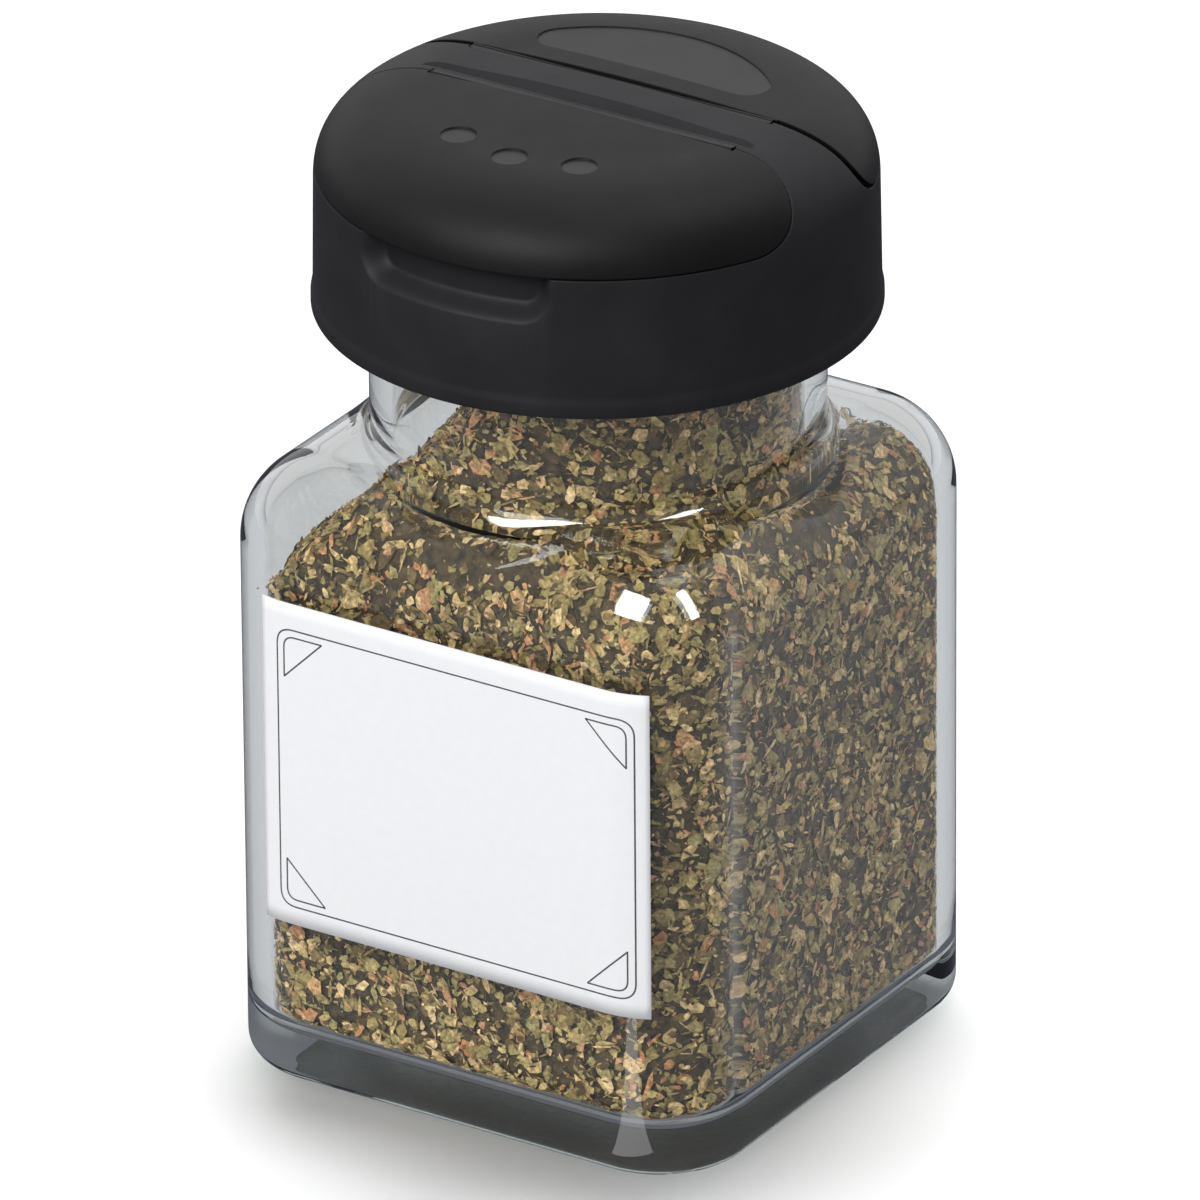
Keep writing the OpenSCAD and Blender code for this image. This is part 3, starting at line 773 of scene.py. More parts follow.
def ink_line(loop):
    """Points and faces of a thin ribbon along a loop on the label."""
    loop = finely(loop)
    along = np.roll(loop, -1, 0) - np.roll(loop, 1, 0)
    along = along / np.linalg.norm(along, axis=1, keepdims=True)
    beside = np.stack([-along[:, 1], along[:, 0]], 1) * ink_w / 2
    rails = []
    for shift, proud in ((1, 0), (1, ink_t), (-1, ink_t), (-1, 0)):
        edge = loop + shift * beside
        rails.append(on_front(edge[:, 0], edge[:, 1], 0.02 + paper_t + proud))
    count = len(loop)
    faces = []
    for k in range(count):
        n = (k + 1) % count
        for r in range(4):
            s = (r + 1) % 4
            faces.append((r * count + k, r * count + n, s * count + n, s * count + k))
    return np.concatenate(rails), faces


left = label_x[0] + 1.75
right = label_x[1] - 1.2
low = label_z[0] + 1.75
high = label_z[1] - 2.5
line_sets = [rounded_loop([(left, low), (right, low), (right, high), (left, high)], [1.6] * 4)]
tri_in = 0.7
tri_w = 3.9
tri_h = 3.9
for x, dx in ((left, 1), (right, -1)):
    for z, dz in ((low, 1), (high, -1)):
        a = (x + dx * tri_in, z + dz * tri_in)
        outline = [a, (a[0] + dx * tri_w, a[1]), (a[0], a[1] + dz * tri_h)]
        line_sets.append(rounded_loop(outline, [1.1, 0.02, 0.02]))
ink_points, ink_faces = [], []
for loop in line_sets:
    points, faces = ink_line(loop)
    offset = sum(len(p) for p in ink_points)
    ink_points.append(points)
    ink_faces += [tuple(k + offset for k in f) for f in faces]
border = mesh_object("label_border", np.concatenate(ink_points), ink_faces, smooth=False)
form = bmesh.new()
form.from_mesh(border.data)
bmesh.ops.recalc_face_normals(form, faces=form.faces[:])
form.to_mesh(border.data)
form.free()
ink = Finish("label_ink", Roughness=0.5)
ink.into(ink.ramp(ink.noise(0.2, 3), [(0.3, (0.06, 0.06, 0.07)), (0.7, (0.12, 0.12, 0.13))]), "Base Color")
give(border, "jar", ink.material)

# %% [markdown]
# ## Cap: black moulded plastic
#
# The cap and its flaps are polypropylene from a finely blasted mould: nearly black,
# dull, with a soft sheen. A very fine grain breaks up the light, and the shader rounds
# the sharp edges as a mould does. The body's black is painted paler than the flaps',
# as light on the front of its skirt.


# %% Plastic material
def plastic(name, low, high, rough, edge_mm):
    made = Finish(name, IOR=1.49, Specular_IOR_Level=0.27)
    made.into(made.ramp(made.noise(6, 4), [(0.35, low), (0.65, high)]), "Base Color")
    made.into(made.spread(made.noise(2.5, 4), rough - 0.04, rough + 0.04), "Roughness")
    edge = made.node("ShaderNodeBevel", samples=6)
    edge.inputs["Radius"].default_value = edge_mm * MM
    made.into(made.bump(made.noise(0.12, 2), 0.006, 1.0, edge.outputs["Normal"]), "Normal")
    return made.material


# The body's black is about three times paler than the flaps', though both are one plastic: painted light for the
# brighter front of the skirt.
cap_black_lit = plastic("cap_black_lit", (0.0150, 0.0140, 0.0165), (0.0190, 0.0178, 0.0205), 0.56, 0.2)
flap_black = plastic("flap_black", (0.005, 0.005, 0.005), (0.0065, 0.0065, 0.0065), 0.54, 0.2)
# The marks' floors are smoother, and their paler black is a painted sheen.
mark_black_sheen = plastic("mark_black_sheen", (0.020, 0.020, 0.020), (0.023, 0.023, 0.023), 0.42, 0.05)
hinge_black = plastic("hinge_black", (0.005, 0.005, 0.005), (0.007, 0.007, 0.007), 0.4, 0.05)
foam = Finish("liner_foam", Roughness=0.7)
foam.into(foam.ramp(foam.noise(0.6, 4), [(0.3, (0.80, 0.80, 0.77)), (0.7, (0.88, 0.88, 0.85))]), "Base Color")
foam.into(foam.bump(foam.noise(0.3, 3), 0.03), "Normal")


def dress(node, material):
    piece = nodes[node]
    piece.data.materials.clear()
    piece.data.materials.append(material)


dress("sealing_liner", foam.material)
dress("sifter_hinge_web", hinge_black)
dress("pour_hinge_web", hinge_black)

# %% [markdown]
# ## Cap: solids to cut with
#
# A moulded cap is a body of revolution with shapes cut out of it. Modelling it by
# pushing points would be slow, so the cap is made as it is drawn: a turned shell, less
# prisms and cylinders. Every solid here is closed, so the exact boolean solver can cut
# one with the next, and edges sharper than 30 degrees stay crisp under smooth shading.

# %% Turned solids, prisms and cuts
TURN_STEPS = 192


def turned(outline, ring=False, steps=TURN_STEPS):
    """A solid of revolution. The outline's first and last points lie on the axis,
    unless it is a ring, whose outline closes on itself away from the axis."""
    body = outline if ring else outline[1:-1]
    a = 2 * math.pi * np.arange(steps) / steps
    rings = [np.column_stack([r * np.cos(a), r * np.sin(a), np.full(steps, z)]) for r, z in body]
    if ring:
        rings.append(rings[0])
        points = np.concatenate(rings[:-1])
        count = len(body) * steps
        faces = [tuple(k % count for k in f) for f in loft_faces(len(rings), steps)[: count]]
    else:
        points = np.concatenate(rings + [[[0, 0, outline[0][1]], [0, 0, outline[-1][1]]]])
        faces = loft_faces(len(rings), steps)
    return mesh_object("turned", points, faces)


def prism(outline, low, high, along):
    """A flat outline pushed from low to high along X, where it is given as (y, z),
    or along Z, where it is given as (x, y)."""
    outline = np.asarray(outline, float)
    x, y = outline[:, 0], outline[:, 1]
    turn = np.sum(x * np.roll(y, -1) - np.roll(x, -1) * y)
    if turn < 0:
        outline = outline[::-1]
    ends = []
    for place in (low, high):
        fill = np.full((len(outline), 1), float(place))
        ends.append(np.hstack([fill, outline] if along == "X" else [outline, fill]))
    n = len(outline)
    faces = [tuple(range(n - 1, -1, -1)), tuple(range(n, 2 * n))]
    faces += [(i, (i + 1) % n, n + (i + 1) % n, n + i) for i in range(n)]
    return mesh_object("prism", np.concatenate(ends), faces, smooth=False)


def peg(x, y, r_low, r_high, low, high, steps=64):
    piece = turned([(0, low), (r_low, low), (r_high, high), (0, high)], steps=steps)
    piece.data.transform(Matrix.Translation((x * MM, y * MM, 0)))
    return piece


def combine(piece, tool, how):
    """Cuts, joins or intersects a piece with a tool, which is used up."""
    step = piece.modifiers.new("cut", "BOOLEAN")
    step.operation = how
    step.solver = "MANIFOLD"
    step.object = tool
    view = bpy.context.evaluated_depsgraph_get()
    mesh = bpy.data.meshes.new_from_object(piece.evaluated_get(view))
    piece.modifiers.clear()
    piece.data = mesh
    bpy.data.objects.remove(tool)
    return piece


def cut(piece, *tools):
    for tool in tools:
        combine(piece, tool, "DIFFERENCE")
    return piece


def finish_edges(piece, name):
    """Names a cut piece and keeps its edges crisp under smooth shading."""
    piece.name = name
    piece.data.name = name
    form = bmesh.new()
    form.from_mesh(piece.data)
    bmesh.ops.remove_doubles(form, verts=form.verts[:], dist=0.0005 * MM)
    form.to_mesh(piece.data)
    form.free()
    piece.data.polygons.foreach_set("use_smooth", [True] * len(piece.data.polygons))
    piece.data.set_sharp_from_angle(angle=math.radians(30))
    return piece


# %% [markdown]
# ## Cap: its outline
#
# The wall leans in a little towards the top and swells into a bead at the rim. The
# dome is a super-ellipse, a touch squarer than a quarter circle, and its top is nearly
# flat with a slight crown. Heights count from the deck's underside, which the frame
# gives as the top of the sealing liner.

# %% Outline of the cap
lid_z = low_high("sealing_liner")[1][2]
cap_low, cap_high = low_high("cap_body")
rim_z = cap_low[2]
lip_r = cap_high[0]
cap_r = lip_r - 0.35
wall_draft = 0.15
wall_top_z = lid_z + 1.9
dome_z = lid_z + 9.15
top_r = 13.0
dome_power = 2.54
crown_h = 0.3
deck_top_z = lid_z + 1.6
seam_z = lid_z + 3.2
sky_z = dome_z + 5
cap_wall = 1.2
flap_t = 1.3


def dome(inset, steps=44):
    """Outline of the dome from the wall's top to the axis, drawn in by an inset."""
    shares = np.sin(np.linspace(0, math.pi / 2, steps))
    reach = top_r - inset + (cap_r - top_r) * (1 - shares**dome_power) ** (1 / dome_power)
    outline = list(zip(reach, wall_top_z + (dome_z - inset - wall_top_z) * shares))
    for share in np.linspace(1, 0, 10)[1:]:
        outline.append(((top_r - inset) * share, dome_z - inset + crown_h * (1 - share**2)))
    return outline


def bead():
    """Outline of the rim's bead, from under the rim up to the wall."""
    points = [(0, rim_z), (lip_r - 0.75, rim_z)]
    for a in np.linspace(-90, 0, 7)[1:]:
        points.append((lip_r - 0.35 + 0.35 * math.cos(math.radians(a)),
                       rim_z + 0.35 + 0.35 * math.sin(math.radians(a))))
    for share in np.linspace(0, 1, 9)[1:]:
        ease = share * share * (3 - 2 * share)
        points.append((lip_r - 0.2 * ease, rim_z + 1.0 + 1.1 * share))
    return points


print("cap", round(2 * lip_r, 1), "mm across, rim at", round(rim_z, 1), "top at", round(dome_z + crown_h, 2))

# %% [markdown]
# ## Cap: the flaps' spaces
#
# Seen from the side, each flap fills a space that is closed below by a flat seam and
# at its inner side by a slanting, curved edge up to the hinge. The same outline cuts
# the space out of the cap's body and, drawn in by the seam's gap, gives the flap.

# %% Side views of the two flap spaces
sifter_y = -2.45
pour_y = 4.3
hinge_z = dome_z - 0.2
hinge_w = 31.0
hinge_edge = 0.32
bridge_edge = 0.65
slot_z = hinge_z - 0.9
seam_gap = 0.15
side_gap = 0.7
ear = 0.25
FAR = 50.0


def arc_points(centre, radius, start, end, steps):
    a = np.radians(np.linspace(start, end, steps + 1))
    return [(centre[0] + radius * math.cos(t), centre[1] + radius * math.sin(t)) for t in a]


def flap_space(side, top_y, lean, bend_r, gap):
    """Side view of a flap's space. Side is -1 for the front flap and 1 for the rear."""
    top_z = dome_z - ear + gap
    floor = seam_z + gap
    knee = top_y + side * (top_z - floor) / math.tan(math.radians(lean))
    reach = bend_r * math.tan(math.radians(lean / 2))
    arc = arc_points((knee + side * reach, floor + bend_r), bend_r, 270, 270 - lean, 20)
    if side < 0:
        arc = [(2 * (knee - reach) - y, z) for y, z in arc]
    outline = [(side * FAR, floor)] + arc + [(top_y, top_z), (top_y, sky_z), (side * FAR, sky_z)]
    return outline


def sifter_space(gap):
    return flap_space(-1, ear + sifter_y - gap, 49.6, 6.0, gap)


def pour_space(gap, beside):
    return flap_space(1, pour_y - ear + beside, 79.0, 4.2, gap)


def half_moon(inset, corner):
    """The pouring opening's outline, whose two corners are rounded."""
    radius, edge = 15.4 - inset, 7.1 + inset
    up = edge + corner
    side = math.sqrt((radius - corner) ** 2 - up**2)
    first = math.degrees(math.atan2(up, side))
    right = arc_points((side, up), corner, -90, first, 8)
    over = arc_points((0, 0), radius, first, 180 - first, 48)
    left = arc_points((-side, up), corner, 180 - first, 270, 8)
    return right + over[1:-1] + left


sifter_holes = [(13.8 * math.sin(math.radians(a)), -13.8 * math.cos(math.radians(a)))
                for a in (-26.5, 0, 26.5)]
print("sifting holes at", [tuple(round(v, 1) for v in hole) for hole in sifter_holes])

# %% [markdown]
# ## Cap: the thumb scoop
#
# Under the front flap the wall has a shallow scoop for a thumb nail, with soft edges.
# A plain boolean would leave it sharp, so the cutting solid has the scoop's own
# surface as its inner face: a grid wrapped round the wall that dips in with an eased
# slope where it lies inside the scoop's outline.

# %% Cutting solid of the scoop
scoop_half = 10.1
scoop_h = 4.4
scoop_r = 3.0
scoop_depth = 1.9
scoop_slope = 1.5


def wall_r(z):
    rise = np.clip((wall_top_z - z) / (wall_top_z - rim_z - 1.6), 0, 1)
    share = np.clip((z - wall_top_z) / (dome_z - wall_top_z), 0, 1)
    bend = top_r + (cap_r - top_r) * (1 - share**dome_power) ** (1 / dome_power)
    return bend + wall_draft * rise


def scoop_tool():
    along = np.linspace(-scoop_half - 1.5, scoop_half + 1.5, 110)
    up = np.linspace(seam_z - scoop_h - 1.0, seam_z + 1.2, 56)
    ga, gz = np.meshgrid(along, up)
    x = np.abs(ga) - (scoop_half - scoop_r)
    z = (seam_z - scoop_h + scoop_r) - gz
    outside = np.hypot(np.maximum(x, 0), np.maximum(z, 0))
    inside = scoop_r - outside - np.minimum(np.maximum(x, z), 0)
    share = np.clip(inside / scoop_slope, 0, 1)
    dip = scoop_depth * share * share * (3 - 2 * share)
    rise = np.clip(-inside, 0, 0.4)
    inner = wall_r(gz) - dip + rise
    turn = ga / cap_r
    near = np.stack([inner * np.sin(turn), -inner * np.cos(turn), gz], -1).reshape(-1, 3)
    out = cap_r + 2.0
    far = np.stack([out * np.sin(turn), -out * np.cos(turn), gz], -1).reshape(-1, 3)
    return grid_solid(far, near, len(along), len(up))


def grid_solid(front, back, nx, nz):
    """A closed solid between two grids of nx by nz points."""
    total = nx * nz
    faces = []
    for r in range(nz - 1):
        for c in range(nx - 1):
            a = r * nx + c
            faces.append((a, a + 1, a + nx + 1, a + nx))
            faces.append(tuple(k + total for k in (a, a + nx, a + nx + 1, a + 1)))
    rim = list(range(nx))
    rim += [r * nx + nx - 1 for r in range(1, nz)]
    rim += [(nz - 1) * nx + c for c in range(nx - 2, -1, -1)]
    rim += [r * nx for r in range(nz - 2, 0, -1)]
    for a, b in zip(rim, rim[1:] + rim[:1]):
        faces.append((b, a, a + total, b + total))
    return mesh_object("grid", np.concatenate([front, back]), faces)


# %% [markdown]
# ## Cap: the body
#
# Wall, threaded sleeve, deck and bridge are one moulding. The order of the cuts is the
# order in which one would explain the cap: the room for the neck, the flaps' spaces,
# the grooves of the two hinges, the wells over the deck, the openings and the scoop.

# %% Cap body
sleeve_r = 21.3
sleeve_outer = 22.3
well_r = 21.6
pocket_top = seam_z - scoop_h - cap_wall
body = turned(bead() + dome(0.0))
cut(
    body,
    turned([(0, rim_z - 1), (sleeve_r, rim_z - 1), (sleeve_r, lid_z), (0, lid_z)]),
    turned([(sleeve_outer, rim_z - 1), (cap_r - cap_wall, rim_z - 1),
            (cap_r - cap_wall, pocket_top), (sleeve_outer, pocket_top)], ring=True),
    prism([(-14.5, -0.5), (14.5, -0.5), (14.5, 2.35), (-14.5, 2.35)], lid_z - 1, lid_z + 6.55, "Z"),
    prism(sifter_space(0), -FAR, FAR, "X"),
    prism(pour_space(0, 0), -FAR, FAR, "X"),
)
for side, y in ((-1, sifter_y), (1, pour_y)):
    slot = [(y - side * bridge_edge, sky_z), (y - side * bridge_edge, slot_z),
            (y + side, slot_z), (y + side, sky_z)]
    cut(body, prism(slot, -hinge_w / 2, hinge_w / 2, "X"))

# %% [markdown]
# Behind the front hinge the bridge has a sloping recess with round ends. Its cutting
# solid is a long tub: seen from above its ends are half round, and its floor rises
# towards the back until it meets the bridge's top.

# %% Recess of the bridge
recess_y = sifter_y + bridge_edge + 0.35
recess_run = 1.5
recess_half = hinge_w / 2 + 1.9


def recess_tool():
    xs = np.linspace(-recess_half, recess_half, 140)
    rows = np.linspace(0, 1, 12)
    gx, gt = np.meshgrid(xs, rows)
    end = np.clip((recess_half - np.abs(gx)) / 1.9, 0, 1)
    depth = 0.85 * np.sin(end * math.pi / 2)
    floor = dome_z + crown_h - (depth + 0.25) * (1 - gt**1.3) + 0.04
    y = recess_y + recess_run * gt
    low = np.stack([gx, y, floor], -1).reshape(-1, 3)
    high = np.stack([gx, y, np.full_like(gx, sky_z)], -1).reshape(-1, 3)
    return grid_solid(high, low, len(xs), len(rows))


cut(
    body,
    recess_tool(),
    prism([(recess_y - 1, hinge_z + 0.15), (recess_y + 0.3, hinge_z + 0.15),
           (recess_y + 0.3, sky_z), (recess_y - 1, sky_z)], -hinge_w / 2, hinge_w / 2, "X"),
)
for low_y, high_y in ((-FAR, sifter_y - 1.8), (pour_y + 0.9, FAR)):
    well = turned([(0, deck_top_z), (well_r, deck_top_z), (well_r, sky_z), (0, sky_z)])
    half = hinge_w / 2
    window = prism([(-half, low_y), (half, low_y), (half, high_y), (-half, high_y)], 0, 2 * sky_z, "Z")
    cut(body, combine(well, window, "INTERSECT"))
cut(body, scoop_tool())
for x, y in sifter_holes:
    cut(body, peg(x, y, 2.0, 2.0, lid_z - 1, deck_top_z + 1))
cut(body, prism(half_moon(0, 0.6), lid_z - 1, deck_top_z + 1, "Z"))

# %% [markdown]
# The sleeve's thread is a ridge that turns once inside the cap, in the gaps of the
# glass thread. Rings of four points along a helix make one closed ridge, which is
# joined to the sleeve.

# %% Thread inside the cap
def inner_thread():
    count = 120
    turn = np.radians(-205 + 360 * np.arange(count + 1) / count)
    share = np.arange(count + 1) / count
    fade = np.clip(np.minimum(share, 1 - share) * 360 / 25 + 0.16, 0, 1)
    middle = thread_z + thread_pitch / 2 + thread_pitch * turn / (2 * math.pi)
    crest = sleeve_r - thread_depth * fade
    rings = []
    for k in range(count + 1):
        side = ((sleeve_r + 0.4, -0.7), (crest[k], -0.35), (crest[k], 0.35), (sleeve_r + 0.4, 0.7))
        rings.append([(r * math.cos(turn[k]), r * math.sin(turn[k]), middle[k] + h) for r, h in side])
    faces = []
    for k in range(count):
        for i in range(4):
            a, b = 4 * k + i, 4 * k + (i + 1) % 4
            faces.append((a, b, b + 4, a + 4))
    faces += [(3, 2, 1, 0), tuple(4 * count + i for i in range(4))]
    ridge = mesh_object("ridge", np.concatenate(rings), faces, smooth=False)
    form = bmesh.new()
    form.from_mesh(ridge.data)
    bmesh.ops.recalc_face_normals(form, faces=form.faces[:])
    form.to_mesh(ridge.data)
    form.free()
    return ridge


combine(body, inner_thread(), "UNION")
finish_edges(body, "cap_shell")
give(body, "cap", cap_black_lit, ["cap_body"])

# %% [markdown]
# ## Cap: the flaps
#
# Both flaps are pieces of the same domed shell. The front one carries three pegs that
# plug the sifting holes, under three round marks. The rear one carries a half-moon
# wall that plugs the pouring opening, under a mark of the same shape.

# %% Flaps
def dome_shell():
    low = seam_z - 1
    outer = [(0, low), (wall_r(np.array(wall_top_z)).item(), low)] + dome(0.0)
    inner = [(0, low - 1), (cap_r - flap_t, low - 1)] + dome(flap_t)
    return cut(turned(outer), turned(inner))


plug_low = deck_top_z - 1.0
front_flap = combine(dome_shell(), prism(sifter_space(seam_gap), -FAR, FAR, "X"), "INTERSECT")
for x, y in sifter_holes:
    combine(front_flap, peg(x, y, 1.35, 1.85, plug_low, deck_top_z), "UNION")
    combine(front_flap, peg(x, y, 1.85, 1.85, deck_top_z - 0.001, dome_z - flap_t / 2), "UNION")
edge = hinge_w / 2 + 0.1
front_edge = sifter_y - hinge_edge
cut(front_flap, prism([(-edge, front_edge), (edge, front_edge), (edge, -sifter_y), (-edge, -sifter_y)],
                      slot_z, sky_z, "Z"))
for x, y in sifter_holes:
    cut(front_flap, peg(x, y, 1.55, 1.72, dome_z - 0.15, dome_z + 0.35))
finish_edges(front_flap, "front_flap")

rear_flap = combine(dome_shell(), prism(pour_space(seam_gap, side_gap), -FAR, FAR, "X"), "INTERSECT")
rear_edge = pour_y + hinge_edge
strip = combine(
    dome_shell(),
    prism([(-hinge_w / 2, rear_edge), (hinge_w / 2, rear_edge),
           (hinge_w / 2, rear_edge + 1.7), (-hinge_w / 2, rear_edge + 1.7)], slot_z, sky_z, "Z"),
    "INTERSECT",
)
combine(rear_flap, strip, "UNION")
plug_r = 15.25
plug = turned([(0, plug_low), (plug_r - 0.9, plug_low), (plug_r, deck_top_z),
               (plug_r, dome_z - flap_t / 2), (0, dome_z - flap_t / 2)])
plug_y = 7.25
combine(plug, prism([(-FAR, plug_y), (FAR, plug_y), (FAR, FAR), (-FAR, FAR)], 0, sky_z, "Z"), "INTERSECT")
hollow = turned([(0, plug_low - 1), (plug_r - 1.7, plug_low - 1), (plug_r - 1.7, dome_z - flap_t),
                 (0, dome_z - flap_t)])
combine(hollow, prism([(-FAR, plug_y + 0.8), (FAR, plug_y + 0.8), (FAR, FAR), (-FAR, FAR)], 0, sky_z, "Z"),
        "INTERSECT")
combine(rear_flap, cut(plug, hollow), "UNION")
cut(
    rear_flap,
    prism([(-edge, 0), (edge, 0), (edge, rear_edge), (-edge, rear_edge)], slot_z, sky_z, "Z"),
    prism(half_moon(0, 2.2), dome_z - 0.15, sky_z, "Z"),
)
finish_edges(rear_flap, "rear_flap")
give(front_flap, "sifter_flap", flap_black, ["sifter_flap"])
give(rear_flap, "pour_flap", flap_black, ["pour_flap"])


def polish_marks(piece):
    """The floors of the sunk marks are smoother, and their black is painted paler as their sheen."""
    piece.data.materials.append(mark_black_sheen)
    floor_z = (dome_z - 0.15) * MM
    marked = [p for p in piece.data.polygons if abs(p.center.z - floor_z) < 0.001 * MM and p.normal.z > 0.9999]
    for face in marked:
        face.material_index = 1
    print(len(marked), "mark faces on", piece.name)


polish_marks(front_flap)
polish_marks(rear_flap)

# %% [markdown]
# ## Floor and light
#
# The jar stands on a white sweep. The floor takes the jar's shadow, and a little of
# its own light for rays that come from the camera or through the glass lifts it to
# white. Two soft lamps and a pale room light the jar at a plain level.

# %% Floor
floor = mesh_object("floor", [(-3000, -3000, 0), (3000, -3000, 0), (3000, 3000, 0), (-3000, 3000, 0)], [(0, 1, 2, 3)])
sweep = Finish("white_sweep", Roughness=0.9)
sweep.shader.inputs["Base Color"].default_value = (0.86, 0.86, 0.86, 1)
glow = sweep.node("ShaderNodeEmission")
glow.inputs["Strength"].default_value = 0.12
both = sweep.node("ShaderNodeAddShader")
sweep.link(sweep.shader.outputs[0], both.inputs[0])
sweep.link(glow.outputs[0], both.inputs[1])
seen = sweep.node("ShaderNodeLightPath")
mirrored_only = sweep.node("ShaderNodeMath", operation="SUBTRACT", use_clamp=True)
sweep.link(seen.outputs["Is Glossy Ray"], mirrored_only.inputs[0])
sweep.link(seen.outputs["Is Transmission Ray"], mirrored_only.inputs[1])
dimming = sweep.node("ShaderNodeMath", operation="MULTIPLY_ADD")
dimming.inputs[1].default_value = 0.5
indirect = sweep.node("ShaderNodeMath", operation="MAXIMUM")
sweep.link(seen.outputs["Is Transmission Ray"], indirect.inputs[0])
sweep.link(seen.outputs["Is Diffuse Ray"], indirect.inputs[1])
sweep.link(indirect.outputs[0], dimming.inputs[0])
sweep.link(mirrored_only.outputs[0], dimming.inputs[2])
dull = sweep.node("ShaderNodeEmission")
dull.inputs["Color"].default_value = (0.85, 0.9, 1.1, 1)
dull.inputs["Strength"].default_value = 0.13
told = sweep.node("ShaderNodeMixShader")
sweep.link(dimming.outputs[0], told.inputs["Fac"])
sweep.link(both.outputs[0], told.inputs[1])
sweep.link(dull.outputs[0], told.inputs[2])
sweep.link(told.outputs[0], sweep.output.inputs["Surface"])
floor.data.materials.append(sweep.material)

# %% World and lamps
scene = bpy.context.scene
world = bpy.data.worlds.new("room")
scene.world = world
world.use_nodes = True
room = world.node_tree
room.nodes.clear()
path = room.nodes.new("ShaderNodeLightPath")
straight_on = room.nodes.new("ShaderNodeMath")
straight_on.operation = "MAXIMUM"
through = room.nodes.new("ShaderNodeMath")
through.operation = "MAXIMUM"
room.links.new(path.outputs["Is Camera Ray"], straight_on.inputs[0])
room.links.new(path.outputs["Is Glossy Ray"], straight_on.inputs[1])
room.links.new(straight_on.outputs[0], through.inputs[0])
room.links.new(path.outputs["Is Transmission Ray"], through.inputs[1])
white = room.nodes.new("ShaderNodeBackground")
white.inputs["Color"].default_value = (1, 1, 1, 1)
facing = room.nodes.new("ShaderNodeVectorMath")
facing.operation = "DOT_PRODUCT"
facing.inputs[1].default_value = (-0.54, 0.84, 0)
room.links.new(room.nodes.new("ShaderNodeTexCoord").outputs["Generated"], facing.inputs[0])
backdrop = room.nodes.new("ShaderNodeMapRange")
backdrop.inputs["From Min"].default_value = -0.1
backdrop.inputs["From Max"].default_value = 0.6
backdrop.inputs["To Min"].default_value = 0.12
room.links.new(facing.outputs["Value"], backdrop.inputs["Value"])
mirrored = room.nodes.new("ShaderNodeMix")
mirrored.inputs["A"].default_value = 1
only = room.nodes.new("ShaderNodeMath")
only.operation = "SUBTRACT"
only.use_clamp = True
room.links.new(path.outputs["Is Glossy Ray"], only.inputs[0])
room.links.new(path.outputs["Is Transmission Ray"], only.inputs[1])
room.links.new(only.outputs[0], mirrored.inputs["Factor"])
room.links.new(backdrop.outputs["Result"], mirrored.inputs["B"])
through_glass = room.nodes.new("ShaderNodeMath")
through_glass.operation = "MULTIPLY_ADD"
through_glass.inputs[1].default_value = -0.4
through_glass.inputs[2].default_value = 1.0
room.links.new(path.outputs["Is Transmission Ray"], through_glass.inputs[0])
strength = room.nodes.new("ShaderNodeMath")
strength.operation = "MULTIPLY"
room.links.new(mirrored.outputs["Result"], strength.inputs[0])
room.links.new(through_glass.outputs[0], strength.inputs[1])
room.links.new(strength.outputs[0], white.inputs["Strength"])
fill = room.nodes.new("ShaderNodeBackground")
fill.inputs["Color"].default_value = (0.96, 0.98, 1, 1)
fill.inputs["Strength"].default_value = 0.36
choose = room.nodes.new("ShaderNodeMixShader")
room.links.new(through.outputs[0], choose.inputs["Fac"])
room.links.new(fill.outputs[0], choose.inputs[1])
room.links.new(white.outputs[0], choose.inputs[2])
result = room.nodes.new("ShaderNodeOutputWorld")
room.links.new(choose.outputs[0], result.inputs["Surface"])


def lamp(name, place, size, power):
    """A soft rectangular lamp that faces the jar. Place and size are in metres."""
    light = bpy.data.lights.new(name, "AREA")
    light.shape = "RECTANGLE"
    light.size, light.size_y = size
    light.energy = power
    made = bpy.data.objects.new(name, light)
    made.location = place
    aim = Vector((0, 0, 0.05)) - Vector(place)
    made.rotation_euler = aim.to_track_quat("-Z", "Y").to_euler()
    scene.collection.objects.link(made)
    return made


def toward_sky(turn, rise, distance):
    """A place seen from the jar at a turn from -Y towards +X and a rise, in degrees."""
    turn, rise = math.radians(turn), math.radians(rise)
    flat = distance * math.cos(rise)
    return (flat * math.sin(turn), -flat * math.cos(turn), distance * math.sin(rise) + 0.05)


def light_only(light, name, pieces):
    """Limits a lamp to a group of pieces; it still casts the shadows of all."""
    group = bpy.data.collections.new(name)
    for piece in pieces:
        group.objects.link(piece)
    light.light_linking.receiver_collection = group


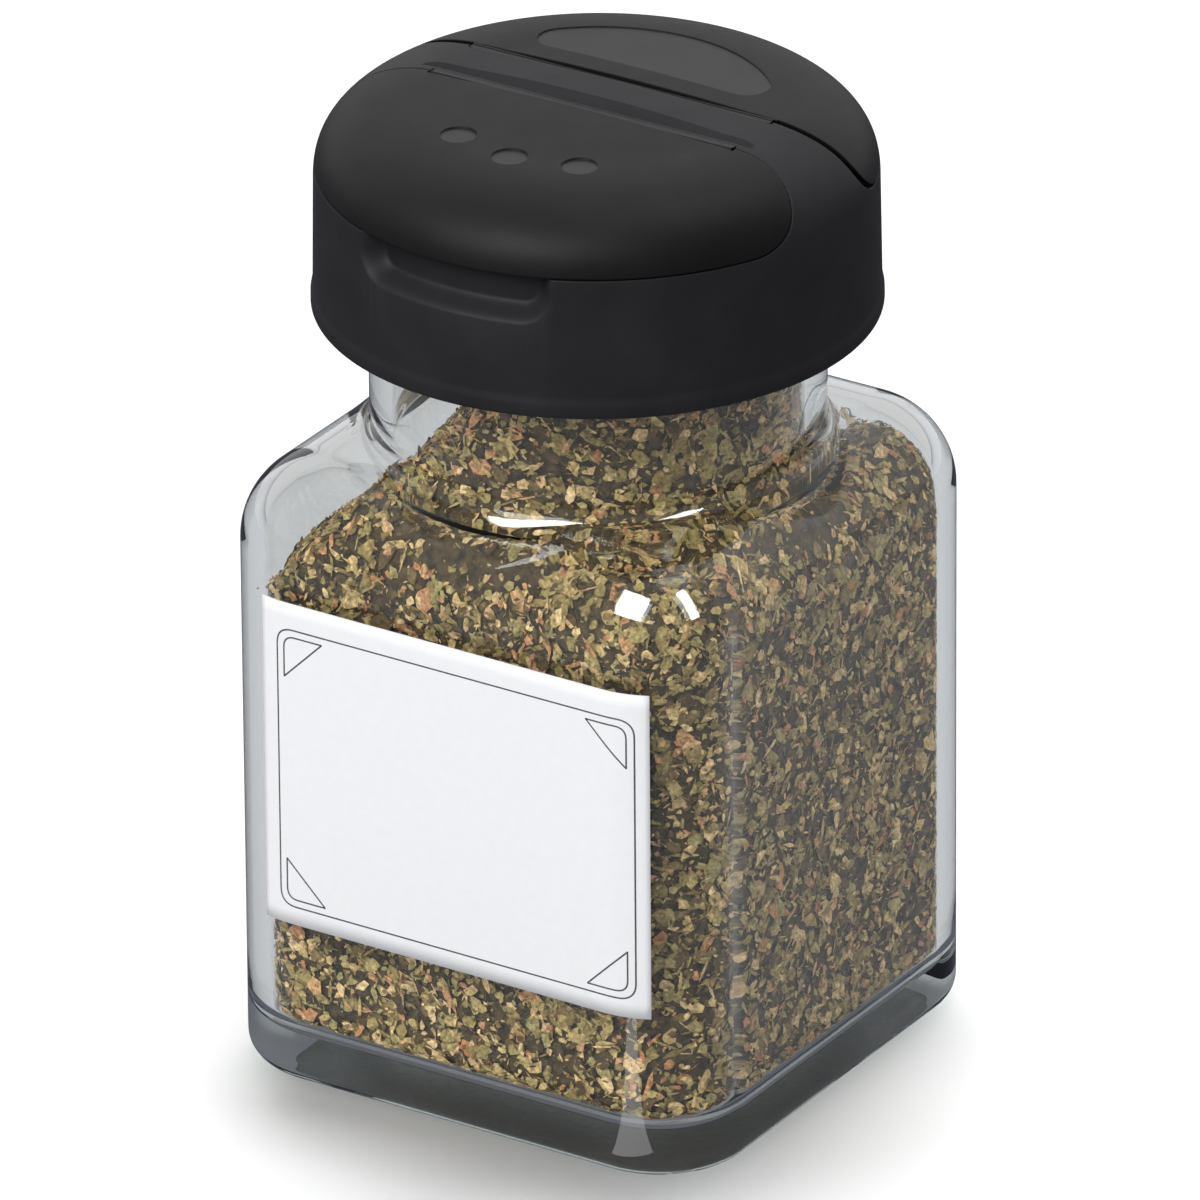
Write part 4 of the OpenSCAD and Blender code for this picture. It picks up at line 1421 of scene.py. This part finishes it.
shown = [piece for piece in scene.objects if piece.type == "MESH" and piece is not floor]
window = lamp("front_window", toward_sky(-6, 43, 0.9), (0.56, 0.48), 6.2)
light_only(window, "lit_by_window", shown)
contents = [glass, core, broad, small, crumbs, stems]
side = lamp("side_window", toward_sky(82, 42, 0.9), (0.2, 0.6), 2.2)
side.visible_glossy = False
light_only(side, "lit_by_side", contents)
lamp("overhead", toward_sky(150, 75, 1.1), (0.7, 0.7), 2.2)
above = lamp("over_floor", toward_sky(208, 80, 1.2), (0.3, 0.3), 12.0)
light_only(above, "lit_from_above", [floor])
bounce = lamp("low_bounce", (-0.05, -0.16, 0.012), (0.12, 0.03), 0.13)
bounce.visible_camera = False
bounce.visible_glossy = False
bounce.visible_transmission = False
light_only(bounce, "lit_by_bounce", contents)
card = lamp("low_card", (0.0187, -0.042, 0.0004), (0.007, 0.028), 0.0017)
card.rotation_euler = (math.pi, 0, 0)
card.visible_camera = False
card.visible_diffuse = False
card.visible_transmission = False
light_only(card, "streak", [glass])
for name, turn, rise, size, power in (
    ("front_pane", -6, 43, (0.5, 0.46), 12.0),
    ("side_pane", 80, 41, (0.17, 0.55), 7.0),
):
    pane = lamp(name, toward_sky(turn, rise, 0.88), size, power)
    pane.visible_diffuse = False
    pane.visible_transmission = False
    pane.visible_volume_scatter = False
    light_only(pane, name + "_glint", [glass])

# %% [markdown]
# ## Camera
#
# A long lens looks down at the jar from its front right, with the label on the left.
# The jar's own axis leans by less than half a degree in the picture.

# %% Camera
azimuth, elevation, roll = math.radians(32.62), math.radians(25.86), math.radians(-0.44)
distance = 1.689
sight_z = 0.045
sight_below = math.atan(39.4 / 19395)
right_hand = np.array([math.cos(azimuth), math.sin(azimuth), 0])
ahead = np.array([-math.sin(azimuth), math.cos(azimuth), 0])


def tilt(angle):
    forward = ahead * math.cos(angle) - np.array([0, 0, math.sin(angle)])
    upward = ahead * math.sin(angle) + np.array([0, 0, math.cos(angle)])
    return forward, upward


toward, _ = tilt(elevation)
spot = np.array([0, 0, sight_z]) - distance * toward
forward, upward = tilt(elevation + sight_below)
level = right_hand * math.cos(roll) + upward * math.sin(roll)
head = -right_hand * math.sin(roll) + upward * math.cos(roll)
camera = bpy.data.objects.new("camera", bpy.data.cameras.new("camera"))
scene.collection.objects.link(camera)
camera.data.sensor_width = 36
camera.data.lens = 36 * 16.1625
camera.data.clip_start = 0.05
camera.data.clip_end = 20
camera.matrix_world = Matrix(np.vstack([np.column_stack([level, head, -forward, spot]), [0, 0, 0, 1]]).tolist())
scene.camera = camera
scene.view_settings.view_transform = "Standard"
